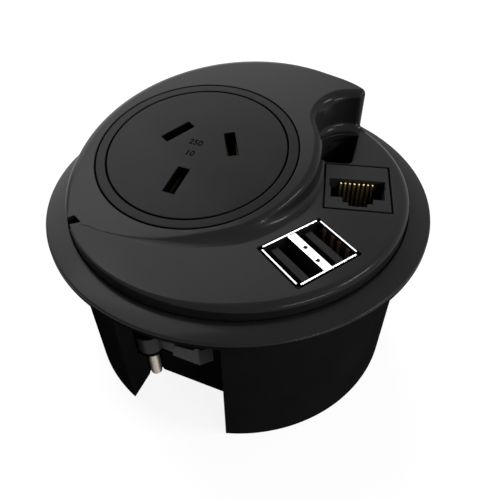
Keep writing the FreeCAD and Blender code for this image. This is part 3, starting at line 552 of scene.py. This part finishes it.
SLOT_FINISH = {
    "black_plastic": "satin black", "socket_plastic": "socket black", "inner_plastic": "inner black",
    "tongue_plastic": "tongue grey", "jack_plastic": "jack black", "plated_shell": "bright nickel",
    "gold_contact": "gold flash", "brass_contact": "plain brass", "zinc_screw": "zinc plate",
    "steel_clip": "plain steel", "claw_metal": "dull casting", "bush_metal": "pale casting",
    "board_laminate": "green laminate", "ferrite": "ferrite", "can_metal": "can metal",
    "terminal_plastic": "cream plastic", "nylon": "black nylon",
}
made_finishes = {}


def finish_of(name):
    """The material of that finish, made when it is first asked for."""
    if name not in made_finishes:
        shade = getattr(bpy.context.scene.module_colours, name.replace(" ", "_"))
        made_finishes[name] = surface(name, shade, **FINISHES[name])
    return made_finishes[name]


def coat(piece, finish):
    piece.data.materials.clear()
    piece.data.materials.append(finish_of(finish))


def coat_part(piece, finish, chosen):
    """A second finish on the faces that the test picks."""
    piece.data.materials.append(finish_of(finish))
    for face in piece.data.polygons:
        if chosen(face):
            face.material_index = len(piece.data.materials) - 1


# Plan of the raised level

def plane_height(y):
    """Height of the tilted level's plane."""
    return sizes().raised_level + math.tan(sizes().raised_tilt) * y


def eased(share):
    """A share kept between 0 and 1, with a soft start and end."""
    share = min(1.0, max(0.0, share))
    return share * share * (3 - 2 * share)


def along_step(number, share, column):
    """A column of the step line between one of its rows and the next, on a smooth curve through all rows."""
    last = len(STEP_LINE) - 1
    before, here, after, beyond = [STEP_LINE[min(max(number + way, 0), last)] for way in (-1, 0, 1, 2)]
    span = after[DEGREES] - here[DEGREES]
    leave = span * (after[column] - before[column]) / (after[DEGREES] - before[DEGREES])
    arrive = span * (beyond[column] - here[column]) / (beyond[DEGREES] - here[DEGREES])
    # The wall meets the hollow square on
    if column == REACH and number == last - 1:
        arrive = 0.0
    twice = share * share
    thrice = twice * share
    return (here[column] * (2 * thrice - 3 * twice + 1) + leave * (thrice - 2 * twice + share)
            + after[column] * (3 * twice - 2 * thrice) + arrive * (thrice - twice))


def step_points():
    """Points of the step line, each with its outward direction, rounding and foot."""
    s = sizes()
    points = []
    last = len(STEP_LINE) - 2
    for number in range(last + 1):
        start = STEP_LINE[number][DEGREES]
        span = STEP_LINE[number + 1][DEGREES] - start
        steps = max(4, round(span))
        for step in range(steps + (number == last)):
            share = step / steps
            reach = along_step(number, share, REACH) * MM
            rounding = along_step(number, share, ROUNDING) * MM
            foot = along_step(number, share, FOOT) * MM
            angle = math.radians(start + span * share)
            points.append((s.socket_x + reach * math.cos(angle), s.socket_y + reach * math.sin(angle),
                           rounding, foot))
    plan = []
    for number, (x, y, rounding, foot) in enumerate(points[:-1]):
        before = points[max(number - 1, 0)]
        after = points[number + 1]
        way = Vector((after[1] - before[1], before[0] - after[0])).normalized()
        plan.append([x, y, way.x, way.y, rounding, foot, "step"])
    return plan


def raised_plan():
    """The raised level's plan: place, outward direction, rounding of the top edge, foot, and stretch."""
    s = sizes()
    outer = s.fascia_radius
    plan = step_points()
    start_x, start_y = plan[0][:2]
    hollow_rounding = STEP_LINE[-1][ROUNDING] * MM
    hollow_foot = STEP_LINE[-1][FOOT] * MM

    def add(points, centre, side, rounding, foot, stretch):
        for x, y in points:
            reach = side * math.hypot(x - centre[0], y - centre[1])
            plan.append([x, y, (x - centre[0]) / reach, (y - centre[1]) / reach, rounding, foot, stretch])

    direction = math.degrees(s.notch_direction)
    notch_x = s.socket_x + (s.neck_radius + s.notch_radius) * math.cos(s.notch_direction)
    notch_y = s.socket_y + (s.neck_radius + s.notch_radius) * math.sin(s.notch_direction)
    apart = math.hypot(notch_x, notch_y)
    reach = outer - s.tip_corner
    hollow = s.notch_radius + s.tip_corner
    along = (reach ** 2 - hollow ** 2 + apart ** 2) / (2 * apart)
    aside = math.sqrt(reach ** 2 - along ** 2)
    corner_x = (along * notch_x - aside * notch_y) / apart
    corner_y = (along * notch_y + aside * notch_x) / apart
    corner_turn = math.degrees(math.atan2(corner_y, corner_x))
    notch_end = math.degrees(math.atan2(corner_y - notch_y, corner_x - notch_x))
    start_turn = math.degrees(math.atan2(start_y, start_x)) + 360
    hollow_points = arc(notch_x, notch_y, s.notch_radius, direction + 180, notch_end, 48, False)
    tip_points = arc(corner_x, corner_y, s.tip_corner, notch_end - 180, corner_turn, 24, False)
    outer_points = arc(0, 0, outer, corner_turn, start_turn, 150, False)
    add(hollow_points, (notch_x, notch_y), -1.0, hollow_rounding, hollow_foot, "hollow")
    add(tip_points, (corner_x, corner_y), 1.0, s.tip_round, s.foot_round, "tip")
    add(outer_points, (0, 0), 1.0, s.outer_round, 0.0, "outer")
    run = [0.0]
    for here, after in zip(plan, plan[1:]):
        run.append(run[-1] + math.hypot(after[0] - here[0], after[1] - here[1]))
    tip = [number for number, entry in enumerate(plan) if entry[PLAN_STRETCH] == "tip"]
    room = outer - s.low_round / 2
    outer_taper = 12 * MM
    inner_taper = 6 * MM
    for number, entry in enumerate(plan):
        x, y, nx, ny, rounding, foot, stretch = entry
        # The tip's rounding passes into the next one over the taper, and shrinks toward the step's start
        away = max(run[tip[0]] - run[number], run[number] - run[tip[-1]], 0.0)
        share = eased(away / (outer_taper if stretch == "outer" else inner_taper))
        rounding = s.tip_round + (rounding - s.tip_round) * share
        if stretch == "outer":
            left = math.hypot(x - start_x, y - start_y)
            rounding = min(rounding, 0.13 * left + 0.2 * MM, 0.3 * left + 0.02 * MM)
        entry[PLAN_ROUNDING] = rounding
        reach = math.hypot(x, y)
        outwards = (x * nx + y * ny) / reach
        if outwards > 0.05:
            entry[PLAN_FOOT] = min(foot, max(0.0, room - reach) / outwards)
    return plan


def raised_hollow(inset, low):
    """A tool for the space under the raised level, clear of the step's start and of the tip."""
    plan = raised_plan()
    start_x, start_y = plan[0][:2]
    clear = 9 * MM
    beside = 4
    bottom = []
    top = []
    for number, (x, y, nx, ny, _, _, _) in enumerate(plan):
        near_start = math.hypot(x - start_x, y - start_y) <= clear
        around = plan[max(0, number - beside):number + beside + 1]
        near_tip = any(entry[PLAN_STRETCH] == "tip" for entry in around)
        if not near_start and not near_tip:
            px = x - nx * inset
            py = y - ny * inset
            bottom.append((px, py, low))
            top.append((px, py, plane_height(y) - inset))
    return skin("raised_hollow", [bottom, top])


def raised_body(low):
    """The raised level: a hollow curve at its foot, a wall where there is room, and a rounded top edge.

    Where the plane dips under the low level the section shrinks to nothing, so it never crosses itself."""
    s = sizes()
    lap = 0.015 * MM
    full_rise = 0.3 * MM
    steps = 14
    rings = [[] for _ in range(2 * steps + 3)]
    for x, y, nx, ny, rounding, foot, _ in raised_plan():
        rise = plane_height(y) - s.low_level
        share = min(1.0, max(0.0, rise / full_rise))
        if share == 0.0:
            rings[0].append((x, y, low))
            for ring in rings[1:]:
                ring.append((x, y, plane_height(y)))
            continue
        rounding *= share
        foot *= share
        bend = min(math.pi / 2, 2 * math.atan2(rise, rounding + foot))
        hollow = foot / math.sin(bend)
        crown = rounding / math.sin(bend)
        rings[0].append((x + nx * foot, y + ny * foot, low))
        for step in range(steps + 1):
            angle = bend * step / steps
            out = foot - hollow * math.sin(angle)
            height = s.low_level + hollow * (1 - math.cos(angle)) - lap * (1 - step / steps)
            rings[1 + step].append((x + nx * out, y + ny * out, height))
        for step in range(steps + 1):
            angle = bend * (1 - step / steps)
            back = rounding - crown * math.sin(angle)
            px = x - nx * back
            py = y - ny * back
            rings[2 + steps + step].append((px, py, plane_height(py) - crown * (1 - math.cos(angle))))
    return skin("raised", rings)


def circle_through(first, middle, last, steps):
    """Points of the arc through three points, in metres from millimetres."""
    (ax, ay), (bx, by), (cx, cy) = first, middle, last
    a_square = ax * ax + ay * ay
    b_square = bx * bx + by * by
    c_square = cx * cx + cy * cy
    turning = 2 * (ax * (by - cy) + bx * (cy - ay) + cx * (ay - by))
    x = (a_square * (by - cy) + b_square * (cy - ay) + c_square * (ay - by)) / turning
    y = (a_square * (cx - bx) + b_square * (ax - cx) + c_square * (bx - ax)) / turning
    start = math.degrees(math.atan2(ay - y, ax - x))
    end = math.degrees(math.atan2(cy - y, cx - x))
    if end < start:
        end += 360
    return arc(x * MM, y * MM, math.hypot(ax - x, ay - y) * MM, start, end, steps)


def cable_plan():
    """Outline of the cable opening: straight sides, and the end wall of the hollow as an arc."""
    corner = 1.6
    first, second, third, last = CABLE_CORNERS
    points = [(first[0] * MM, first[1] * MM)]
    toward_first = Vector((first[0] - second[0], first[1] - second[1])).normalized()
    toward_third = Vector((third[0] - second[0], third[1] - second[1])).normalized()
    opening = toward_first.angle(toward_third)
    back = corner / math.tan(opening / 2)
    middle = Vector(second) + (toward_first + toward_third).normalized() * corner / math.sin(opening / 2)
    begin = Vector(second) + toward_first * back
    end = Vector(second) + toward_third * back
    start_turn = math.degrees(math.atan2(begin.y - middle.y, begin.x - middle.x))
    end_turn = math.degrees(math.atan2(end.y - middle.y, end.x - middle.x))
    if end_turn < start_turn:
        end_turn += 360
    points += arc(middle.x * MM, middle.y * MM, corner * MM, start_turn, end_turn, 8)
    points += circle_through(*CABLE_WALL, 24)
    points.append((last[0] * MM, last[1] * MM))
    return points


class MODULE_OT_fascia(bpy.types.Operator):
    """Two-level top cover with its openings"""
    bl_idname = "module.fascia"
    bl_label = "Fascia"

    def execute(self, context):
        s = sizes()
        f = fittings()
        low = -1.5 * MM
        circle = 240
        # Between these directions the raised level covers the rim, which keeps this gap inside it
        tip_turn = 58.0
        start_turn = 227.9
        covered_gap = 0.2 * MM
        socket_floor = -2.6 * MM
        usb_floor = -12 * MM
        jack_floor = -6 * MM
        nick_heights = (4.3 * MM, 9 * MM)
        nick_reach = 2.4 * MM
        nick_middle = Vector((-26.0 * MM, -27.0 * MM, s.low_level))
        boss_radius = 2.3 * MM
        boss_low = -27.85 * MM
        pilot_radius = 1.45 * MM
        pilot_low = -29 * MM
        pilot_top = -15.8 * MM
        ceiling = s.low_level - s.fascia_shell
        rings = []
        levels = [(0.0, None)]
        steps = 8
        for step in range(steps + 1):
            angle = math.pi / 2 * step / steps
            levels.append((1 - math.cos(angle), 1 - math.sin(angle)))
        for back, drop in levels:
            ring = []
            for step in range(circle):
                degrees = 360.0 * step / circle
                share = 1.0
                if degrees > 180:
                    share = eased((degrees - CRISP_TURNS[0]) / (CRISP_TURNS[1] - CRISP_TURNS[0]))
                rounding = CRISP_EDGE + (s.low_round - CRISP_EDGE) * share
                radius = s.fascia_radius - back * rounding
                if tip_turn < degrees < start_turn:
                    radius -= covered_gap
                angle = math.radians(degrees)
                height = low + 0.05 * MM if drop is None else s.low_level - rounding * drop
                ring.append((radius * math.cos(angle), radius * math.sin(angle), height))
            rings.append(ring)
        piece = skin("fascia", rings)
        add_to(piece, raised_body(low))
        carve(piece, rod(s.fascia_radius - s.fascia_shell, low - MM, ceiling, sides=circle),
              raised_hollow(s.fascia_shell, low - 2 * MM))
        openings = [
            on_socket(mouth_tool(arc(0, 0, s.socket_hole, 0, 360, 180, False), socket_floor, 0.0)),
            on_usb(mouth_tool(rectangle(f.usb_hole_length / 2, f.usb_hole_width / 2), usb_floor, 0.0)),
            on_jack(mouth_tool(rectangle(f.jack_hole_width / 2, f.jack_hole_height / 2), jack_floor, 0.0)),
            mouth_tool(cable_plan(), low - MM, s.low_level),
            skin("nick", [[(x * MM, y * MM, height) for x, y in PRY_NICK] for height in nick_heights])]
        carve(piece, *openings)
        add_to(piece, *[rod(boss_radius, boss_low, ceiling + 0.5 * MM, x * MM, y * MM, 48)
                        for x, y in SCREW_PLACES])
        carve(piece, *[rod(pilot_radius, pilot_low, pilot_top, x * MM, y * MM, 32) for x, y in SCREW_PLACES])
        stands_for(piece, "top_fascia")
        smooth(piece)
        # The inside of the pry nick is painted near black as shade
        coat_part(piece, "deep black", lambda face: (face.center - nick_middle).length < nick_reach
                  and face.center.z < s.low_level - 0.04 * MM)
        return {"FINISHED"}


class MODULE_OT_sleeve(bpy.types.Operator):
    """Desk flange and sleeve with the two clamp channels"""
    bl_idname = "module.sleeve"
    bl_label = "Flange and sleeve"

    def execute(self, context):
        s = sizes()
        f = fittings()
        sleeve = s.sleeve_radius
        bore = sleeve - s.sleeve_wall
        recess = s.fascia_radius + 0.1 * MM
        roof_top = -1.5 * MM
        roof_bottom = -3.5 * MM
        ledge = recess - 2.1 * MM
        ledge_bottom = -3.0 * MM
        # The rib inside the sleeve that the base cover is screwed up against
        rib = bore - 0.9 * MM
        rib_slant = -25.6 * MM
        rib_top = -26.5 * MM
        rib_bottom = -28.0 * MM
        edge = 0.3 * MM
        rim = 0.35 * MM
        depth = -s.sleeve_depth
        far = 60 * MM
        pillar_wall = 1.3 * MM
        pocket_floor = -28.5 * MM
        lower_hole = 1.9 * MM
        upper_hole = 1.5 * MM
        upper_hole_low = -5 * MM

        steep = 90 - math.degrees(s.flange_slope)
        rim_x = s.flange_radius - s.flange_round + s.flange_round * math.sin(s.flange_slope)
        rim_z = s.flange_foot + s.flange_round * math.cos(s.flange_slope)
        dome_radius = (rim_x - recess) / math.sin(s.flange_slope)
        dome_middle = rim_z - dome_radius * math.cos(s.flange_slope)
        dome_top = dome_middle + dome_radius
        profile = [(sleeve, -0.001 * MM), (s.flange_radius - 0.1 * MM, 0.0), (s.flange_radius, 0.1 * MM)]
        profile += arc(s.flange_radius - s.flange_round, s.flange_foot, s.flange_round, 0, steep, 10)
        profile += arc(recess, dome_middle, dome_radius, steep, 90, 6)[1:-1]
        profile += arc(recess + edge, dome_top - edge, edge, 90, 180, 4)
        profile += [(recess, roof_top), (ledge, roof_top), (ledge, ledge_bottom),
                    (bore, ledge_bottom - bore + ledge), (bore, rib_slant), (rib, rib_top), (rib, rib_bottom),
                    (bore, rib_bottom)]
        profile += arc(bore + rim, depth + rim, rim, 180, 270, 4)
        profile += arc(sleeve - rim, depth + rim, rim, 270, 360, 4)
        piece = spun("sleeve", profile, 256)
        half = f.channel_width / 2
        reach = half + 2 * MM
        inside = sleeve - 0.5 * MM
        for turned in (1, -1):
            ends = sorted((turned * -far, turned * (2 * MM - f.channel_back)))
            wall = block(-reach, reach, ends[0], ends[1], depth, roof_top)
            keep_inside(wall, rod(inside, depth, roof_top, sides=256))
            x = turned * f.clamp_x
            y = turned * f.clamp_y
            pillar = rod(f.pocket_radius + pillar_wall, depth, roof_top, x, y)
            keep_inside(pillar, rod(inside - 0.01 * MM, depth, roof_top, sides=256))
            add_to(piece, wall, pillar)
        for turned in (1, -1):
            ends = sorted((turned * -far, turned * -f.channel_back))
            hollow = block(-half, half, ends[0], ends[1], -far, roof_bottom)
            x = turned * f.clamp_x
            y = turned * f.clamp_y
            carve(piece, hollow, rod(f.pocket_radius, pocket_floor, roof_bottom, x, y),
                  rod(lower_hole, -far, pocket_floor, x, y, 64),
                  rod(upper_hole, upper_hole_low, 0.0, x, y, 48))
        stands_for(piece, "flange_sleeve")
        smooth(piece)
        coat_part(piece, "matt black", lambda face: face.center.z < s.flange_foot - 0.1 * MM)
        return {"FINISHED"}


class MODULE_OT_socket(bpy.types.Operator):
    """Mains socket: face with its slots, trim ring and what lies behind"""
    bl_idname = "module.socket"
    bl_label = "Mains socket"

    def execute(self, context):
        s = sizes()
        outer_groove = 0.32 * MM
        inner_groove = 0.36 * MM
        ring = 2.16 * MM
        edge = 0.18 * MM
        slot_corner = 0.15 * MM
        outer = s.socket_hole - outer_groove
        inner = outer - ring
        low = -s.fascia_shell
        trim = spun("trim", [(inner, low), (outer, low)] + arc(outer - edge, -edge, edge, 0, 90, 4)
                    + arc(inner + edge, -edge, edge, 90, 180, 4))
        on_socket(trim)
        stands_for(trim, "socket_trim_ring")
        smooth(trim)
        rim = inner - inner_groove
        face = spun("face", [(0.0, low), (rim, low)] + arc(rim - edge, -edge, edge, 0, 90, 4) + [(0.0, 0.0)])
        for turned, reach, direction, wide in SLOT_PLACES:
            angle = math.radians(turned)
            outline = rectangle(fittings().slot_length / 2, wide * MM / 2, slot_corner)
            tool = mouth_tool(outline, low - MM, 0.0, slot_corner)
            carve(face, put(tool, reach * MM * math.cos(angle), reach * MM * math.sin(angle), 0.0, direction))
        for figures, x, y in FIGURES:
            carve(face, number_tool(figures, x * MM, y * MM))
        on_socket(face)
        stands_for(face, "socket_face")
        smooth(face)
        # The walls of the socket's grooves and slots, and the figures' sunk ground, are painted near black as
        # shade
        for piece in (trim, face):
            coat_part(piece, "deep black", under_plane)
        softened("socket_body", 0.15 * MM)
        return {"FINISHED"}


def number_tool(figures, x, y):
    """Upright solid figures, sunk into the socket's face by a tenth of a millimetre."""
    ready()
    bpy.ops.object.text_add(location=(x, y, 0.0))
    words = bpy.context.object
    words.data.body = figures
    words.data.align_x = "CENTER"
    words.data.align_y = "CENTER"
    words.data.size = 2.3 * MM
    words.data.offset = 0.04 * MM
    words.data.extrude = 0.12 * MM
    words.data.resolution_u = 4
    select_only(words)
    bpy.ops.object.convert(target="MESH")
    piece = settled("figures")
    return outward(piece)


def under_plane(face):
    """True for the faces that lie under the tilted level, past its roundings or at a figure's ground; these
    are painted near black as shade.
    """
    return face.center.z < plane_height(face.center.y) - 0.11 * MM


class MODULE_OT_usb(bpy.types.Operator):
    """Stacked pair of USB sockets"""
    bl_idname = "module.usb"
    bl_label = "USB sockets"

    def execute(self, context):
        s = sizes()
        shell = softened("usb_shell", 0.08 * MM)
        divider = softened("usb_divider", 0.12 * MM)
        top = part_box("usb_divider")[1][2]
        ball = 0.8 * MM
        dimple_depth = 0.25 * MM
        copper_strip_half_width = 0.45
        for x, y in DIMPLES:
            ready()
            bpy.ops.mesh.primitive_uv_sphere_add(segments=24, ring_count=16, radius=ball,
                                                 location=(x * MM, y * MM, 0.0))
            dimple = on_usb(settled("dimple"))
            dimple.data.transform(Matrix.Translation((0, 0, top - s.low_level + ball - dimple_depth)))
            carve(divider, dimple)
        smooth(divider)
        # Inside the ports the shell and divider are painted near black as shade
        for piece in (shell, divider):
            coat_part(piece, "dark nickel", lambda face: face.center.z < s.low_level - 0.1 * MM)
        softened("usb_tongues", 0.15 * MM)
        # The contacts are darkened to copper brown as painted shade inside the ports
        contacts = softened("usb_contacts", 0.05 * MM, "worn copper")
        # Strips against the ports' far wall, in the same painted shade copper
        for y in COPPER_STRIP_ROWS:
            copper_strip = block(7.02 * MM, 7.18 * MM, (y - copper_strip_half_width) * MM, (y + copper_strip_half_width) * MM,
                           -8.0 * MM, -0.7 * MM)
            select_only(on_usb(copper_strip))
            contacts.select_set(True)
            bpy.context.view_layer.objects.active = contacts
            bpy.ops.object.join()
        coat(contacts, "worn copper")
        return {"FINISHED"}


class MODULE_OT_jack(bpy.types.Operator):
    """Data jack with its eight contacts"""
    bl_idname = "module.jack"
    bl_label = "Data jack"

    def execute(self, context):
        softened("jack_body", 0.18 * MM)
        softened("jack_contacts", 0.02 * MM, angle=50.0)
        softened("jack_rear_cap", 0.2 * MM)
        return {"FINISHED"}


def thread(x, y, low, high):
    """A closed screw thread, with a blunt lower end and a plain upper one."""
    f = fittings()
    around = 24
    per_turn = 6
    blunt_depth = 0.35 * MM
    blunt_length = 0.5 * MM
    levels = round((high - low) / f.thread_pitch * per_turn)
    rings = []
    for level in range(levels + 1):
        height = low + (high - low) * level / levels
        ring = []
        for step in range(around):
            phase = ((height - low) / f.thread_pitch - step / around) % 1.0
            groove = f.thread_depth * (1 - abs(2 * phase - 1))
            blunt = blunt_depth * max(0.0, 1 - (height - low) / blunt_length)
            radius = f.screw_radius - groove - blunt
            angle = 2 * math.pi * step / around
            ring.append((x + radius * math.cos(angle), y + radius * math.sin(angle), height))
        rings.append(ring)
    return skin("thread", rings)


class MODULE_OT_clamps(bpy.types.Operator):
    """Clamp screws, bushes and claws"""
    bl_idname = "module.clamps"
    bl_label = "Clamps"

    def execute(self, context):
        lap = 0.4 * MM
        around = 5 * MM
        for side, way in SIDES:
            screw = softened(side + "_clamp_screw", 0.12 * MM, body=side + "_screw")
            x = way * fittings().clamp_x
            y = way * fittings().clamp_y
            head_end = block(x - around, x + around, y - around, y + around, THREAD_TOP, 10 * MM)
            keep_inside(screw, head_end)
            add_to(screw, thread(x, y, THREAD_LOW, THREAD_TOP + lap))
            smooth(screw, 50.0)
            softened(side + "_screw_clip", 0.08 * MM, body=side + "_screw")
            # The bush's finish paints it near black as the shade under the flange
            softened(side + "_clamp_bush", 0.15 * MM, body=side + "_bush")
            softened(side + "_clamp_claw", 0.25 * MM, body=side + "_claw", segments=3)
        return {"FINISHED"}


class MODULE_OT_underside(bpy.types.Operator):
    """Base cover, its screws, the mains gland and the cable duct"""
    bl_idname = "module.underside"
    bl_label = "Underside"

    def execute(self, context):
        softened("base_cover", 0.25 * MM)
        softened("housing_screws", 0.08 * MM)
        softened("mains_gland", 0.3 * MM)
        softened("gland_lock_nut", 0.2 * MM)
        softened("cable_duct", 0.12 * MM, "jack black")
        return {"FINISHED"}


class MODULE_OT_other_nodes(bpy.types.Operator):
    """Finishes for the pieces that keep their CAD form"""
    bl_idname = "module.other_nodes"
    bl_label = "Other pieces"

    def execute(self, context):
        for node, piece in frame["nodes"].items():
            coat(piece, SLOT_FINISH[SLOTS[node]])
        return {"FINISHED"}


def seen_rays(tree):
    """1 for what the camera sees itself, in a mirror or through a clear piece, and 0 for other rays."""
    ray = tree.nodes.new("ShaderNodeLightPath")
    last = ray.outputs["Is Camera Ray"]
    for kind in ("Is Glossy Ray", "Is Transmission Ray"):
        either = tree.nodes.new("ShaderNodeMath")
        either.operation = "MAXIMUM"
        tree.links.new(last, either.inputs[0])
        tree.links.new(ray.outputs[kind], either.inputs[1])
        last = either.outputs["Value"]
    return last


class MODULE_OT_stage(bpy.types.Operator):
    """Pale floor, soft lights and the camera of the photograph"""
    bl_idname = "module.stage"
    bl_label = "Stage"

    def execute(self, context):
        s = sizes()
        look = context.scene.module_stage
        ready()
        bpy.ops.mesh.primitive_grid_add(x_subdivisions=2, y_subdivisions=2, size=6.0,
                                        location=(0, 0, -s.sleeve_depth))
        floor = settled("floor")
        material, tree, shader = finish_nodes("pale floor")
        shader.inputs["Base Color"].default_value = (0.3, 0.3, 0.3, 1)
        shader.inputs["Roughness"].default_value = 0.9
        shader.inputs["Specular IOR Level"].default_value = 0.1
        shader.inputs["Emission Color"].default_value = (1, 1, 1, 1)
        glow = tree.nodes.new("ShaderNodeMath")
        glow.operation = "MULTIPLY"
        glow.inputs[1].default_value = look.floor_glow
        tree.links.new(seen_rays(tree), glow.inputs[0])
        tree.links.new(glow.outputs["Value"], shader.inputs["Emission Strength"])
        floor.data.materials.append(material)
        lamps = (("back_left_softbox", (-0.52, 0.54, 0.5), 0.8, 0.8, look.softbox_power),
                 ("high_softbox", (-0.42, 0.2, 0.75), 0.4, 0.4, look.high_power),
                 ("right_strip", (0.62, 0.1, 0.42), 0.25, 0.08, look.right_power),
                 ("low_strip", (0.6, -0.33, 0.155), 0.34, 0.035, look.strip_power))
        for name, place, width, height, watts in lamps:
            ready()
            bpy.ops.object.light_add(type="AREA", location=place)
            light = bpy.context.object
            light.name = name
            light.data.shape = "RECTANGLE"
            light.data.size = width
            light.data.size_y = height
            light.data.energy = watts
            light.rotation_euler = (-Vector(place)).to_track_quat("-Z", "Y").to_euler()
        world = bpy.data.worlds.new("studio")
        context.scene.world = world
        world.use_nodes = True
        back = world.node_tree.nodes["Background"]
        links = world.node_tree.links
        level = world.node_tree.nodes.new("ShaderNodeMapRange")
        level.inputs["To Min"].default_value = 0.1
        level.inputs["To Max"].default_value = 1.0
        links.new(seen_rays(world.node_tree), level.inputs["Value"])
        links.new(level.outputs["Result"], back.inputs["Strength"])
        back.inputs["Color"].default_value = (1, 1, 1, 1)
        ready()
        bpy.ops.object.camera_add()
        camera = bpy.context.object
        camera.data.lens = look.lens
        camera.data.sensor_width = 36.0
        camera.data.clip_start = 0.005
        turned = Matrix((Vector(CAMERA_RIGHT), -Vector(CAMERA_DOWN), -Vector(CAMERA_FORWARD)))
        camera.matrix_world = Matrix.Translation(CAMERA_PLACE) @ turned.transposed().to_4x4()
        context.scene.camera = camera
        context.scene.view_settings.view_transform = "Standard"
        return {"FINISHED"}


OPERATORS = (MODULE_OT_other_nodes, MODULE_OT_sleeve, MODULE_OT_fascia, MODULE_OT_socket, MODULE_OT_usb,
             MODULE_OT_jack, MODULE_OT_clamps, MODULE_OT_underside, MODULE_OT_stage)


class MODULE_PT_panel(bpy.types.Panel):
    """Lists the pieces in the order of making"""
    bl_idname = "MODULE_PT_panel"
    bl_label = "Power module"
    bl_space_type = "VIEW_3D"
    bl_region_type = "UI"
    bl_category = "Power module"

    def draw(self, context):
        for operator in OPERATORS:
            self.layout.operator(operator.bl_idname)


GROUPS = (("module_sizes", HousingSizes), ("module_fittings", FittingSizes),
          ("module_colours", FinishColours), ("module_stage", StageLook))
CLASSES = (HousingSizes, FittingSizes, FinishColours, StageLook) + OPERATORS + (MODULE_PT_panel,)


def register():
    for entry in CLASSES:
        bpy.utils.register_class(entry)
    for name, group in GROUPS:
        setattr(bpy.types.Scene, name, bpy.props.PointerProperty(type=group))


def unregister():
    for name, _ in GROUPS:
        delattr(bpy.types.Scene, name)
    for entry in reversed(CLASSES):
        bpy.utils.unregister_class(entry)


def main():
    register()
    for operator in OPERATORS:
        group, action = operator.bl_idname.split(".")
        getattr(getattr(bpy.ops, group), action)()


if __name__ == "__main__":
    main()
